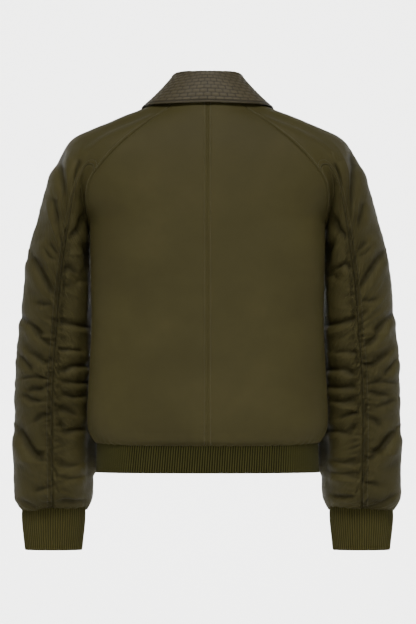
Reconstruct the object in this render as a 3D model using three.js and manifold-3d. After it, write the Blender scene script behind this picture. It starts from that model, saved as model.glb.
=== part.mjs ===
// A bomber jacket with raglan sleeves, filled out as when it is worn: cloth panels, knit bands,
// a turned-down leather collar and a front zip. Millimetres, +Z up, the back towards -Y and the
// wearer's right towards +X. The origin is the middle of the neck opening, level with its seam.
import * as THREE from "three";
import Module from "manifold-3d";

const wasm = await Module();
wasm.setup();
const { Manifold, Mesh: SolidMesh } = wasm;

// Driving sizes
const SEAM = 0.3; // gap between two pieces where they are sewn
const CLOTH_WALL = 2;
const KNIT_WALL = 2.6;
const LEATHER_WALL = 2.4;
const TAPE_WALL = 1.2;
const RIB_HEIGHT = 0.8;
const ROUND = 2.3; // squareness of the hem band's section, where 2 is an ellipse

// Neck seam: a ring round the neck that drops towards the front
const NECK = { half: 66, middle: -8, back: 57, front: 80, drop: 72 };
const RAGLAN_TURN = { back: 42, side: 86, front: 122 }; // degrees round the neck from centre back

// Body below the underarm: half width, the side seam's place, the centre back and front, and how
// square the section is, where 2 is an ellipse
const BODY = [
  { z: -554, half: 168, side: -32, back: -110, front: 114, round: 2.3 },
  { z: -548, half: 178, side: -36, back: -118, front: 122, round: 2.3 },
  { z: -538, half: 188, side: -40, back: -124, front: 129, round: 2.3 },
  { z: -520, half: 192, side: -43, back: -127, front: 132, round: 2.3 },
  { z: -480, half: 191, side: -45, back: -128, front: 134, round: 2.3 },
  { z: -430, half: 188, side: -45, back: -127, front: 134, round: 2.3 },
  { z: -360, half: 185, side: -47, back: -126, front: 133, round: 2.45 },
  { z: -300, half: 186, side: -49, back: -127, front: 132, round: 2.6 },
  { z: -246, half: 187, side: -50, back: -127, front: 131, round: 2.8 },
  { z: -225, half: 187.5, side: -47, back: -127, front: 130, round: 2.75 },
  { z: -206, half: 187.5, side: -42, back: -126, front: 129, round: 2.6 },
];
const CENTRE_BACK = [
  { z: 0, y: -65 },
  { z: -20, y: -80 },
  { z: -35, y: -89 },
  { z: -55, y: -99 },
  { z: -78, y: -108 },
  { z: -106, y: -115 },
  { z: -138, y: -120 },
  { z: -170, y: -124 },
  { z: -206, y: -126 },
];
const CENTRE_FRONT = [
  { z: -72, y: 72 },
  { z: -90, y: 86 },
  { z: -110, y: 98 },
  { z: -140, y: 112 },
  { z: -170, y: 122 },
  { z: -206, y: 129 },
];

// Raglan seams, from the neck down to the underarm
const RAGLAN_BACK = [
  neckPoint(RAGLAN_TURN.back),
  { x: 62, y: -66, z: -20 },
  { x: 84, y: -78, z: -35 },
  { x: 110, y: -89, z: -55 },
  { x: 137, y: -96, z: -78 },
  { x: 164, y: -97, z: -106 },
  { x: 187, y: -89, z: -138 },
  { x: 192, y: -75, z: -168 },
  { x: 190, y: -58, z: -192 },
  { x: 187.5, y: -42, z: -206 },
];
const RAGLAN_FRONT = [
  neckPoint(RAGLAN_TURN.front),
  { x: 72, y: 52, z: -53 },
  { x: 96, y: 72, z: -78 },
  { x: 120, y: 84, z: -104 },
  { x: 142, y: 89, z: -132 },
  { x: 161, y: 82, z: -160 },
  { x: 174, y: 53, z: -184 },
  { x: 183, y: 8, z: -200 },
  { x: 187.5, y: -42, z: -206 },
];

// Sleeve rings from the raglan seam to the cuff: the outer and inner point of each ring, how far
// it reaches back and front, and how far its middle stands out from the line between the two
const SLEEVE = [
  { outX: 68, outZ: -11, inX: 187, inZ: -206, back: -97, front: 88, bowX: 12, bowZ: 20 },
  { outX: 104, outZ: -25, inX: 187.5, inZ: -209, back: -98, front: 89, bowX: 12, bowZ: 29 },
  { outX: 152, outZ: -42, inX: 188, inZ: -214, back: -98, front: 90, bowX: 11.5, bowZ: 34 },
  { outX: 187, outZ: -54, inX: 188, inZ: -221, back: -96, front: 90, bowX: 10, bowZ: 33 },
  { outX: 213, outZ: -67, inX: 187.5, inZ: -231, back: -93, front: 89, bowX: 8, bowZ: 28 },
  { outX: 232, outZ: -89, inX: 187, inZ: -244, back: -90, front: 88, bowX: 6.5, bowZ: 21 },
  { outX: 246, outZ: -119, inX: 186.5, inZ: -260, back: -86, front: 87, bowX: 4.5, bowZ: 14 },
  { outX: 260, outZ: -153, inX: 186, inZ: -280, back: -80, front: 87, bowX: 2.5, bowZ: 8 },
  { outX: 272, outZ: -195, inX: 186, inZ: -305, back: -74, front: 88, bowX: 1, bowZ: 4 },
  { outX: 285, outZ: -240, inX: 185, inZ: -334, back: -68, front: 89, bowX: 0, bowZ: 0 },
  { outX: 294, outZ: -295, inX: 184.5, inZ: -366, back: -61, front: 91, bowX: 0, bowZ: 0 },
  { outX: 299, outZ: -350, inX: 184.5, inZ: -402, back: -54, front: 93, bowX: 0, bowZ: 0 },
  { outX: 305, outZ: -400, inX: 186, inZ: -440, back: -48, front: 95, bowX: 0, bowZ: 0 },
  { outX: 309, outZ: -460, inX: 187, inZ: -486, back: -42, front: 98, bowX: 0, bowZ: 0 },
  { outX: 310, outZ: -520, inX: 187, inZ: -535, back: -36, front: 101, bowX: 0, bowZ: 0 },
  { outX: 311, outZ: -580, inX: 185, inZ: -588, back: -30, front: 103, bowX: 0, bowZ: 0 },
  { outX: 311, outZ: -620, inX: 183, inZ: -622, back: -26, front: 104, bowX: 0, bowZ: 0 },
  { outX: 310, outZ: -643, inX: 185, inZ: -643, back: -21, front: 102, bowX: 0, bowZ: 0 },
  { outX: 305, outZ: -655, inX: 190, inZ: -655, back: -8, front: 95, bowX: 0, bowZ: 0 },
  { outX: 299, outZ: -663.5, inX: 195, inZ: -663.5, back: 8, front: 86, bowX: 0, bowZ: 0 },
];
const INNER_LEAN = 15; // how far forward of its middle the sleeve's inner line lies
const NECK_SHARE = 0.1; // share of a sleeve ring, on each side of its top, that lies on the neck seam
// Steps down the raglan seam that panel and sleeve share, above and below the long sleeve seam
const RAGLAN_STEPS = { outer: 5, under: 4, split: 0.625, neck: 2 };
const STEADY_ROW = 0.03; // the sleeve's rows crowd at the underarm, so its seam takes this row's normal
const RAGLAN_FADE = 0.3; // share of the sleeve in which the raglan seam's shape fades out
// Where the two long sleeve seams run, as a share of the way round from the shoulder over the back
const SLEEVE_SEAMS = [
  { along: 0, back: 0.35, front: 0.65 },
  { along: 0.12, back: 0.322, front: 0.676 },
  { along: 0.25, back: 0.285, front: 0.71 },
  { along: 0.4, back: 0.262, front: 0.733 },
  { along: 0.6, back: 0.255, front: 0.74 },
  { along: 1, back: 0.25, front: 0.745 },
];

// Main sleeve folds as seen on the back, each a soft trough from one point to another
const FOLDS = [
  { x0: 232, z0: -93, x1: 233, z1: -172, depth: 5, width: 13 },
  { x0: 203, z0: -112, x1: 210, z1: -150, depth: 4, width: 12 },
  { x0: 287, z0: -251, x1: 244, z1: -309, depth: 5, width: 13 },
  { x0: 236, z0: -357, x1: 193, z1: -368, depth: 4, width: 12 },
  { x0: 278, z0: -370, x1: 252, z1: -402, depth: 4, width: 12 },
  { x0: 294, z0: -413, x1: 246, z1: -429, depth: 5, width: 12 },
  { x0: 233, z0: -445, x1: 193, z1: -437, depth: 4, width: 12 },
  { x0: 300, z0: -488, x1: 268, z1: -496, depth: 4, width: 12 },
  { x0: 241, z0: -504, x1: 204, z1: -517, depth: 4, width: 12 },
  { x0: 303, z0: -544, x1: 254, z1: -582, depth: 6, width: 14 },
  { x0: 234, z0: -584, x1: 199, z1: -592, depth: 4, width: 12 },
];
const FRONT_FOLD_DROP = 26; // the front's folds are the back's, mirrored across the sleeve and lower
const GATHER = { height: 2.2, pitch: 31, reach: 34, from: 0.22, full: 0.34 };

// Knit bands
const CUFF = [
  { outX: 298, inX: 196, z: -664, back: 9, front: 85 },
  { outX: 298, inX: 197, z: -680, back: 10, front: 84 },
  { outX: 293, inX: 202, z: -728, back: 14, front: 80 },
];
const CUFF_RIBS = 35;
const HEM = [
  { z: -554.3, half: 176, side: -34, back: -113, front: 117 },
  { z: -601, half: 178, side: -34, back: -113, front: 117 },
];
const HEM_RIBS = 100;

// Collar: a stand on the neck seam, a rolled fold and a fall whose lower edge lies on the shoulders.
// `swell` is how far the middle of the fall stands out from the line between its two edges.
const FOLD_LINE = { half: 55, middle: -10, back: 50, front: 72, height: 38, ease: 0.5, roll: 3.6 };
const COLLAR_END = 172; // degrees round the neck from centre back
const COLLAR_EDGE = [
  { turn: 0, x: 0, y: -83, z: -9, swell: 5 },
  { turn: 30, x: 52, y: -74, z: -10.5, swell: 3 },
  { turn: 60, x: 88, y: -50, z: -12, swell: 0 },
  { turn: 90, x: 103, y: -4, z: -17, swell: -1.5 },
  { turn: 115, x: 102, y: 48, z: -35, swell: 0 },
  { turn: 140, x: 82, y: 84, z: -78, swell: 4 },
  { turn: COLLAR_END, x: 46, y: 106, z: -106, swell: 5 },
];
const COLLAR_PROFILE = { stand: 0.34, roll: 0.5 };
const EDGE_STRIP = 3.4;

// Zip at the centre front
const ZIP = { half: 6, top: -74, sliderZ: -88, sliderWide: 8, sliderLong: 12, sliderThick: 3.2, clear: 0.4 };
const BAIL = { wide: 2.8, long: 8, rise: 4.4, thick: 1.4 };
const PULL = { wide: 8, long: 30, thick: 1.4, bar: 1.4, holeWide: 4.2, holeLong: 5.4 };

const SHELL = { color: 0x423c25, roughness: 0.55, metalness: 0 };
const KNIT = { color: 0x39341a, roughness: 0.9, metalness: 0 };
const LEATHER = { color: 0x59513f, roughness: 0.6, metalness: 0 };
const TAPE = { color: 0x2c2815, roughness: 0.85, metalness: 0 };
const METAL = { color: 0x8b8064, roughness: 0.35, metalness: 1 };

const jacket = new THREE.Group();

function lerp(a, b, t) {
  return a + (b - a) * t;
}

function ease(low, high, value) {
  const t = THREE.MathUtils.clamp((value - low) / (high - low), 0, 1);
  return t * t * (3 - 2 * t);
}

function neckPoint(degrees) {
  const turn = THREE.MathUtils.degToRad(degrees);
  const reach = Math.cos(turn) > 0 ? NECK.back : NECK.front;
  const fall = (1 - Math.cos(turn)) / 2;
  return {
    x: NECK.half * Math.sin(turn),
    y: NECK.middle - reach * Math.cos(turn),
    z: -NECK.drop * fall ** 3,
  };
}

// The value of one column of a table at a place between its rows, on a smooth curve through them
function read(rows, key, at, column) {
  const way = Math.sign(rows[1][key] - rows[0][key]);
  let k = 0;
  while (k < rows.length - 2 && (at - rows[k + 1][key]) * way > 0) k += 1;
  const [a, b] = [rows[k], rows[k + 1]];
  const before = rows[Math.max(k - 1, 0)];
  const after = rows[Math.min(k + 2, rows.length - 1)];
  const span = b[key] - a[key];
  const t = THREE.MathUtils.clamp((at - a[key]) / span, 0, 1);
  const leave = ((b[column] - before[column]) / (b[key] - before[key])) * span;
  const arrive = ((after[column] - a[column]) / (after[key] - a[key])) * span;
  const t2 = t * t;
  const t3 = t2 * t;
  return (2 * t3 - 3 * t2 + 1) * a[column] + (t3 - 2 * t2 + t) * leave
    + (3 * t2 - 2 * t3) * b[column] + (t3 - t2) * arrive;
}

function numbered(rows) {
  return rows.map((row, i) => ({ ...row, at: i / (rows.length - 1) }));
}

const backSeam = numbered(RAGLAN_BACK);
const frontSeam = numbered(RAGLAN_FRONT);
const sleeveRings = numbered(SLEEVE);
const cuffRings = numbered(CUFF);
const hemRings = numbered(HEM);

function seamPoint(rows, at) {
  return new THREE.Vector3(read(rows, "at", at, "x"), read(rows, "at", at, "y"), read(rows, "at", at, "z"));
}

// Shares of a curve, from 0 to 1, that divide its length into equal steps
function evenSteps(curve, count) {
  const fine = 600;
  const lengths = [0];
  let last = curve(0);
  for (let i = 1; i <= fine; i += 1) {
    const next = curve(i / fine);
    lengths.push(lengths[i - 1] + next.distanceTo(last));
    last = next;
  }
  const steps = [];
  let i = 0;
  for (let k = 0; k <= count; k += 1) {
    const wanted = (lengths[fine] * k) / count;
    while (i < fine - 1 && lengths[i + 1] < wanted) i += 1;
    steps.push((i + (wanted - lengths[i]) / (lengths[i + 1] - lengths[i])) / fine);
  }
  return steps;
}

function even(count) {
  return Array.from({ length: count + 1 }, (_, i) => i / count);
}

function normalAt(place, t, v) {
  const step = 0.004;
  const across = place(Math.min(t + step, 1), v).sub(place(Math.max(t - step, 0), v));
  const along = place(t, Math.min(v + step, 1)).sub(place(t, Math.max(v - step, 0)));
  return across.cross(along).normalize();
}

// From a grid's first row towards its second, square to the row
function edgeDirection(place, t) {
  const step = 0.01;
  const row = place(Math.min(t + step, 1), 0).sub(place(Math.max(t - step, 0), 0)).normalize();
  const along = place(t, step).sub(place(t, 0));
  return along.addScaledVector(row, -along.dot(row)).normalize();
}

function surface(name, points, triangles, finish) {
  const geometry = new THREE.BufferGeometry();
  geometry.setAttribute("position", new THREE.Float32BufferAttribute(points.flat(), 3));
  geometry.setIndex(triangles.flat());
  geometry.computeVertexNormals();
  const mesh = new THREE.Mesh(geometry, new THREE.MeshStandardMaterial({ ...finish, flatShading: true }));
  mesh.name = name;
  return mesh;
}

function volume(points, triangles) {
  let sum = 0;
  for (const [a, b, c] of triangles) {
    const [p, q, r] = [points[a], points[b], points[c]];
    sum += p[0] * (q[1] * r[2] - q[2] * r[1]) - p[1] * (q[0] * r[2] - q[2] * r[0])
      + p[2] * (q[0] * r[1] - q[1] * r[0]);
  }
  return sum / 6;
}

// A closed wall over a grid: `place` gives the outer face at (t, v), `folds` moves both faces and
// `raised` only the outer one. `turned` is -1 where place's own normal points inwards, and `mitre`
// may give the normal that two pieces share at their seam. `startGap` draws the first row back.
function wall({ name, finish, place, across, along, thick, folds = () => 0, raised = () => 0,
  turned = 1, ring = false, mirrored = false, mitre = () => null, startGap = 0 }) {
  const columns = ring ? across.slice(0, -1) : across;
  const [wide, high] = [columns.length, along.length];
  const outer = [];
  const inner = [];
  const side = mirrored ? -1 : 1;
  for (let j = 0; j < high; j += 1) {
    for (let i = 0; i < wide; i += 1) {
      const [t, v] = [columns[i], along[j]];
      const point = place(t, v);
      const normal = mitre(t, v) ?? normalAt(place, t, v).multiplyScalar(turned);
      const fold = folds(point, t, v);
      if (j === 0 && startGap) point.add(edgeDirection(place, t).multiplyScalar(startGap));
      const top = point.clone().addScaledVector(normal, fold + raised(t, v, i, j));
      const under = point.clone().addScaledVector(normal, fold - thick);
      outer.push([top.x * side, top.y, top.z]);
      inner.push([under.x * side, under.y, under.z]);
    }
  }
  const points = [...outer, ...inner];
  const under = wide * high;
  const triangles = [];
  const patch = (a, b, c, d) => triangles.push([a, b, c], [a, c, d]);
  const id = (i, j) => j * wide + (i % wide);
  const spans = ring ? wide : wide - 1;
  for (let j = 0; j < high - 1; j += 1) {
    for (let i = 0; i < spans; i += 1) {
      const [a, b, c, d] = [id(i, j), id(i + 1, j), id(i + 1, j + 1), id(i, j + 1)];
      patch(a, b, c, d);
      patch(under + a, under + d, under + c, under + b);
    }
  }
  for (let i = 0; i < spans; i += 1) {
    patch(id(i, 0), under + id(i, 0), under + id(i + 1, 0), id(i + 1, 0));
    patch(id(i, high - 1), id(i + 1, high - 1), under + id(i + 1, high - 1), under + id(i, high - 1));
  }
  for (let j = 0; j < high - 1 && !ring; j += 1) {
    patch(id(0, j), id(0, j + 1), under + id(0, j + 1), under + id(0, j));
    patch(id(wide - 1, j), under + id(wide - 1, j), under + id(wide - 1, j + 1), id(wide - 1, j + 1));
  }
  if (volume(points, triangles) < 0) triangles.forEach((triangle) => triangle.reverse());
  jacket.add(surface(name, points, triangles, finish));
}

// Body panels: `across` runs from the centre line to the side or raglan seam, `up` from the hem
const PANEL_ROWS = { below: 11, pack: 1.6 };
const UNDERARM_SHARE = 0.6;
const UNDERARM_Z = BODY[BODY.length - 1].z;
const UNDERARM_ROUND = BODY[BODY.length - 1].round;

function panelPlace(isBack, centreGap) {
  const rows = isBack ? backSeam : frontSeam;
  const centre = isBack ? CENTRE_BACK : CENTRE_FRONT;
  const column = isBack ? "back" : "front";
  const neckTurn = THREE.MathUtils.degToRad(isBack ? RAGLAN_TURN.back : RAGLAN_TURN.front);
  const neckSweep = Math.sin(neckTurn);
  const neckZ = centre[0].z;
  const corner = rows[0];
  return (across, up) => {
    let edge;
    let middle;
    let power;
    let height = 0;
    if (up <= UNDERARM_SHARE) {
      const z = lerp(BODY[0].z, UNDERARM_Z, (up / UNDERARM_SHARE) ** PANEL_ROWS.pack);
      edge = new THREE.Vector3(read(BODY, "z", z, "half"), read(BODY, "z", z, "side"), z);
      middle = { y: read(BODY, "z", z, column), z };
      power = read(BODY, "z", z, "round");
    } else {
      height = (up - UNDERARM_SHARE) / (1 - UNDERARM_SHARE);
      edge = seamPoint(rows, 1 - height);
      const z = edge.z + (neckZ - corner.z) * height ** 1.5;
      middle = { y: read(centre, "z", z, "y"), z };
      power = lerp(UNDERARM_ROUND, 2, height);
    }
    const sweep = lerp(1, neckSweep, height);
    const first = Math.asin((sweep * centreGap) / edge.x);
    const last = Math.asin(sweep) - SEAM / 2 / 170;
    const sine = Math.sin(lerp(first, last, across));
    const share = sine / sweep;
    const curved = (value) => 1 - (1 - value ** power) ** (1 / power);
    const blend = curved(sine) / curved(sweep);
    const neckFall = (1 + (isBack ? -1 : 1) * Math.sqrt(1 - (share * neckSweep) ** 2)) / 2;
    const neckFix = -NECK.drop * neckFall ** 3 - lerp(neckZ, corner.z, share ** 2);
    return new THREE.Vector3(
      edge.x * share,
      lerp(middle.y, edge.y, blend),
      lerp(middle.z, edge.z, share ** 2) + neckFix * height ** 4,
    );
  };
}

const backPlace = panelPlace(true, SEAM / 2);
const frontPlace = panelPlace(false, ZIP.half + SEAM);

// Places down a raglan seam, from the neck (0) to the underarm (1), where both sides have a point
function raglanSteps() {
  const { outer, under, split } = RAGLAN_STEPS;
  const upper = even(outer).map((step) => step * split);
  const lower = even(under).map((step) => lerp(split, 1, step));
  return [...upper, ...lower.slice(1)];
}

function bodyPanels() {
  const below = even(PANEL_ROWS.below).map((step) => step * UNDERARM_SHARE);
  const above = raglanSteps().reverse().map((down) => lerp(1, UNDERARM_SHARE, down));
  const along = [...below, ...above.slice(1)];
  const shared = { finish: SHELL, across: even(8), along, thick: CLOTH_WALL };
  const mitre = (isBack) => (t, v) => {
    if (t < 1 || v <= UNDERARM_SHARE) return null;
    const down = (1 - v) / (1 - UNDERARM_SHARE);
    const round = lerp(NECK_SHARE, 0.5, down);
    return sharedNormal(isBack ? round : 1 - round);
  };
  for (const [label, mirrored] of [["right", false], ["left", true]]) {
    wall({ ...shared, name: `back_${label}`, place: backPlace, mirrored, mitre: mitre(true) });
    wall({ ...shared, name: `front_${label}`, place: frontPlace, mirrored, turned: -1, mitre: mitre(false) });
  }
}

// The normal halfway between panel and sleeve on the raglan seam, or null where they fold together
function sharedNormal(round) {
  if (round < NECK_SHARE || round > 1 - NECK_SHARE) return null;
  const isBack = round <= 0.5;
  const down = ((isBack ? round : 1 - round) - NECK_SHARE) / (0.5 - NECK_SHARE);
  const up = lerp(1, UNDERARM_SHARE, down);
  const panel = normalAt(isBack ? backPlace : frontPlace, 1, up).multiplyScalar(isBack ? 1 : -1);
  const sleeve = normalAt(sleevePoint, round, STEADY_ROW);
  return panel.dot(sleeve) > 0.2 ? panel.add(sleeve).normalize() : null;
}

// The raglan seam's closed loop: round the sleeve from the shoulder over the back
function raglanLoop(round) {
  if (round < NECK_SHARE) {
    return neckVector(lerp(RAGLAN_TURN.side, RAGLAN_TURN.back, round / NECK_SHARE));
  }
  if (round <= 0.5) return seamPoint(backSeam, (round - NECK_SHARE) / (0.5 - NECK_SHARE));
  if (round <= 1 - NECK_SHARE) return seamPoint(frontSeam, (1 - NECK_SHARE - round) / (0.5 - NECK_SHARE));
  return neckVector(lerp(RAGLAN_TURN.front, RAGLAN_TURN.side, (round - 1 + NECK_SHARE) / NECK_SHARE));
}

function neckVector(degrees) {
  const { x, y, z } = neckPoint(degrees);
  return new THREE.Vector3(x, y, z);
}

function ringPoint(round, at) {
  const get = (column) => read(sleeveRings, "at", at, column);
  const turn = 2 * Math.PI * round;
  const [c, s] = [Math.cos(turn), Math.sin(turn)];
  const middle = (get("back") + get("front")) / 2;
  const reach = s > 0 ? get("back") - middle : get("front") - middle;
  return new THREE.Vector3(
    lerp(get("inX"), get("outX"), (1 + c) / 2) + get("bowX") * s * s * (1 - c),
    middle + reach * Math.abs(s) ** 0.92 + (INNER_LEAN * ease(0, 0.12, at) * (1 - c)) / 2,
    lerp(get("inZ"), get("outZ"), (1 + c) / 2) + get("bowZ") * s * s * (1 - c),
  );
}

function sleevePoint(round, at) {
  const whole = ((round % 1) + 1) % 1;
  const point = ringPoint(whole, at);
  const fade = 1 - ease(0, RAGLAN_FADE, at);
  if (fade > 0) point.add(raglanLoop(whole).sub(ringPoint(whole, 0)).multiplyScalar(fade));
  return point;
}

function seamRound(at, column) {
  return read(SLEEVE_SEAMS, "along", at, column);
}

const SLEEVE_ROUND_LENGTH = 430; // about how far it is round a sleeve

function sleeveRound(isOuter, t, v) {
  const back = seamRound(v, "back");
  const front = seamRound(v, "front");
  const gap = (0.6 * SEAM) / SLEEVE_ROUND_LENGTH;
  return isOuter ? lerp(front - 1 + gap, back - gap, t) : lerp(back + gap, front - gap, t);
}

function sleevePlace(isOuter) {
  return (t, v) => sleevePoint(sleeveRound(isOuter, t, v), v);
}

// Columns round a sleeve piece that meet the shared steps of the raglan seam
function sleeveColumns(isOuter) {
  const { back, front } = SLEEVE_SEAMS[0];
  const rounds = raglanSteps().map((down) => lerp(NECK_SHARE, 0.5, down));
  if (isOuter) {
    const side = rounds.filter((round) => round <= back + 0.001);
    const neck = even(RAGLAN_STEPS.neck).slice(1, -1).map((step) => lerp(-NECK_SHARE, NECK_SHARE, step));
    const all = [...side.map((round) => -round).reverse(), ...neck, ...side];
    return all.map((round) => (round - front + 1) / (back - front + 1));
  }
  const half = rounds.filter((round) => round >= back - 0.001);
  const all = [...half, ...half.map((round) => 1 - round).reverse().slice(1)];
  return all.map((round) => (round - back) / (front - back));
}

function segmentDistance(x, z, fold) {
  const [dx, dz] = [fold.x1 - fold.x0, fold.z1 - fold.z0];
  const t = THREE.MathUtils.clamp(((x - fold.x0) * dx + (z - fold.z0) * dz) / (dx * dx + dz * dz), 0, 1);
  return Math.hypot(x - fold.x0 - t * dx, z - fold.z0 - t * dz);
}

function sleeveFolds(point, t, v) {
  const middleX = (read(sleeveRings, "at", v, "inX") + read(sleeveRings, "at", v, "outX")) / 2;
  const middleY = (read(sleeveRings, "at", v, "back") + read(sleeveRings, "at", v, "front")) / 2;
  const isBack = point.y < middleY;
  const x = isBack ? point.x : 2 * middleX - point.x;
  const z = isBack ? point.z : point.z + FRONT_FOLD_DROP;
  let sum = 0;
  for (const fold of FOLDS) {
    sum -= fold.depth * Math.exp(-((segmentDistance(x, z, fold) / fold.width) ** 2));
  }
  const facing = ease(4, 30, Math.abs(point.y - middleY)) * ease(0.06, 0.16, v) * ease(1, 0.95, v);
  return Math.max(sum, -7) * facing;
}

// Gathers beside the ruched seam down the back of the sleeve
function sleeveGathers(isOuter) {
  return (t, v) => {
    const span = isOuter ? t - 1 : t;
    const distance = Math.abs(span) * SLEEVE_ROUND_LENGTH * 0.5;
    const row = v * SLEEVE.length * GATHER.pitch;
    const wave = 0.5 + 0.5 * Math.sin((row * 2 * Math.PI) / GATHER.pitch + 1.3 * Math.sin(v * 37));
    const strength = Math.exp(-((distance / GATHER.reach) ** 2)) * ease(GATHER.from, GATHER.full, v);
    return GATHER.height * strength * wave * ease(1, 0.96, v);
  };
}

// Both pieces take their normals from the whole sleeve, so their walls meet at the long seams
function sleeveNormal(isOuter) {
  return (t, v) => {
    const round = (sleeveRound(isOuter, t, v) + 1) % 1;
    const shared = v > 0 ? null : sharedNormal(round);
    return shared ?? normalAt(sleevePoint, round, Math.max(v, STEADY_ROW));
  };
}

function sleeves() {
  const along = evenSteps((v) => sleevePoint(0.2, v), 44);
  for (const [label, mirrored] of [["right", false], ["left", true]]) {
    for (const [part, isOuter] of [["outer", true], ["under", false]]) {
      wall({ name: `sleeve_${part}_${label}`, finish: SHELL, place: sleevePlace(isOuter), along,
        across: sleeveColumns(isOuter), thick: CLOTH_WALL, folds: sleeveFolds,
        raised: sleeveGathers(isOuter), mitre: sleeveNormal(isOuter), startGap: SEAM / 2,
        mirrored });
    }
  }
}

function cuffPlace(t, v) {
  const get = (column) => read(cuffRings, "at", v, column);
  const turn = 2 * Math.PI * t;
  return new THREE.Vector3(
    lerp(get("inX"), get("outX"), (1 + Math.cos(turn)) / 2),
    lerp(get("front"), get("back"), (1 + Math.sin(turn)) / 2),
    get("z"),
  );
}

function everyOther(height) {
  return (t, v, i) => (i % 2 ? height : 0);
}

function cuffs() {
  const across = evenSteps((t) => cuffPlace(t, 0), 2 * CUFF_RIBS);
  for (const [label, mirrored] of [["right", false], ["left", true]]) {
    wall({ name: `cuff_${label}`, finish: KNIT, place: cuffPlace, across, along: even(2), thick: KNIT_WALL,
      ring: true, raised: everyOther(RIB_HEIGHT), mirrored });
  }
}

function hemPlace(t, v) {
  const get = (column) => read(hemRings, "at", v, column);
  const end = Math.PI - Math.asin((ZIP.half + SEAM) / get("half"));
  const turn = lerp(-end, end, t);
  const across = Math.sin(turn);
  const depth = (1 - Math.abs(across) ** ROUND) ** (1 / ROUND);
  const reach = Math.cos(turn) > 0 ? get("back") : get("front");
  return new THREE.Vector3(get("half") * across, lerp(get("side"), reach, depth), get("z"));
}

function hemBand() {
  const across = evenSteps((t) => hemPlace(t, 0), 2 * HEM_RIBS);
  wall({ name: "hem_band", finish: KNIT, place: hemPlace, across, along: even(1), thick: KNIT_WALL,
    raised: everyOther(RIB_HEIGHT), turned: -1 });
}

// Collar, from the neck seam (v = 0) up the stand, over the roll and down the fall (v = 1)
function foldLine(degrees) {
  const turn = THREE.MathUtils.degToRad(degrees);
  const reach = Math.cos(turn) > 0 ? FOLD_LINE.back : FOLD_LINE.front;
  const fall = (1 - Math.cos(turn)) / 2;
  const height = FOLD_LINE.height * (1 - FOLD_LINE.ease * fall ** 3);
  return new THREE.Vector3(
    FOLD_LINE.half * Math.sin(turn),
    FOLD_LINE.middle - reach * Math.cos(turn),
    neckPoint(degrees).z + height - FOLD_LINE.roll,
  );
}

function collarPlace(t, v) {
  const degrees = lerp(-COLLAR_END, COLLAR_END, t);
  const sign = Math.sign(degrees) || 1;
  const turn = THREE.MathUtils.degToRad(degrees);
  const out = new THREE.Vector3(Math.sin(turn), -Math.cos(turn), 0);
  const up = new THREE.Vector3(0, 0, 1);
  const crown = foldLine(degrees);
  const { stand, roll } = COLLAR_PROFILE;
  if (v <= stand) {
    const foot = neckVector(degrees).addScaledVector(up, 2 * SEAM).addScaledVector(out, -1);
    return foot.lerp(crown.addScaledVector(out, -FOLD_LINE.roll), v / stand);
  }
  if (v <= roll) {
    const arch = (Math.PI * (v - stand)) / (roll - stand);
    return crown.addScaledVector(out, -FOLD_LINE.roll * Math.cos(arch))
      .addScaledVector(up, FOLD_LINE.roll * Math.sin(arch));
  }
  const down = (v - roll) / (1 - roll);
  const edge = (column) => read(COLLAR_EDGE, "turn", Math.abs(degrees), column);
  const hem = new THREE.Vector3(edge("x") * sign, edge("y"), edge("z"));
  const swell = edge("swell") * Math.sin(Math.PI * Math.min(down, 1));
  return crown.addScaledVector(out, FOLD_LINE.roll).lerp(hem, down)
    .addScaledVector(out, swell * 0.7).addScaledVector(up, swell * 0.5);
}

function collar() {
  const { stand, roll } = COLLAR_PROFILE;
  const across = evenSteps((t) => collarPlace(t, 1), 34);
  const along = [0, stand / 2, stand, lerp(stand, roll, 0.33), lerp(stand, roll, 0.67), roll,
    lerp(roll, 1, 0.25), lerp(roll, 1, 0.5), lerp(roll, 1, 0.75), 1];
  wall({ name: "collar", finish: LEATHER, place: collarPlace, across, along, thick: LEATHER_WALL,
    turned: -1 });
  const strip = (t, v) => {
    const edge = collarPlace(t, 1);
    const down = edge.clone().sub(collarPlace(t, 0.97)).normalize();
    return edge.addScaledVector(down, lerp(SEAM, EDGE_STRIP, v));
  };
  wall({ name: "collar_edge", finish: LEATHER, place: strip, across, along: [0, 1], thick: LEATHER_WALL,
    turned: -1 });
}

// Centre front line, from the hem's lower edge to the neck
function centreFront(z) {
  if (z < BODY[0].z) return HEM[0].front;
  return z < UNDERARM_Z ? read(BODY, "z", z, "front") : read(CENTRE_FRONT, "z", z, "y");
}

function zipTapes() {
  const bottom = HEM[1].z;
  const place = (t, v) => {
    const z = lerp(bottom, ZIP.top, v);
    return new THREE.Vector3(lerp(SEAM / 2, ZIP.half, t), centreFront(z) - SEAM, z);
  };
  for (const [label, mirrored] of [["right", false], ["left", true]]) {
    wall({ name: `zip_tape_${label}`, finish: TAPE, place, across: [0, 1], along: even(30), thick: TAPE_WALL,
      turned: -1, mirrored });
  }
}

function roundedBar(wide, long, thick, corner) {
  const [x, y] = [wide / 2, long / 2];
  const shape = new THREE.Shape();
  shape.moveTo(-x + corner, -y);
  shape.lineTo(x - corner, -y);
  shape.absarc(x - corner, -y + corner, corner, -Math.PI / 2, 0);
  shape.lineTo(x, y - corner);
  shape.absarc(x - corner, y - corner, corner, 0, Math.PI / 2);
  shape.lineTo(-x + corner, y);
  shape.absarc(-x + corner, y - corner, corner, Math.PI / 2, Math.PI);
  shape.lineTo(-x, -y + corner);
  shape.absarc(-x + corner, -y + corner, corner, Math.PI, 1.5 * Math.PI);
  return new THREE.ExtrudeGeometry(shape, { depth: thick, bevelEnabled: false, curveSegments: 3 });
}

function toSolid(geometry) {
  const places = geometry.getAttribute("position").array;
  const solid = new SolidMesh({ numProp: 3, vertProperties: Float32Array.from(places),
    triVerts: Uint32Array.from({ length: places.length / 3 }, (_, i) => i) });
  solid.merge();
  return new Manifold(solid);
}

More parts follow.
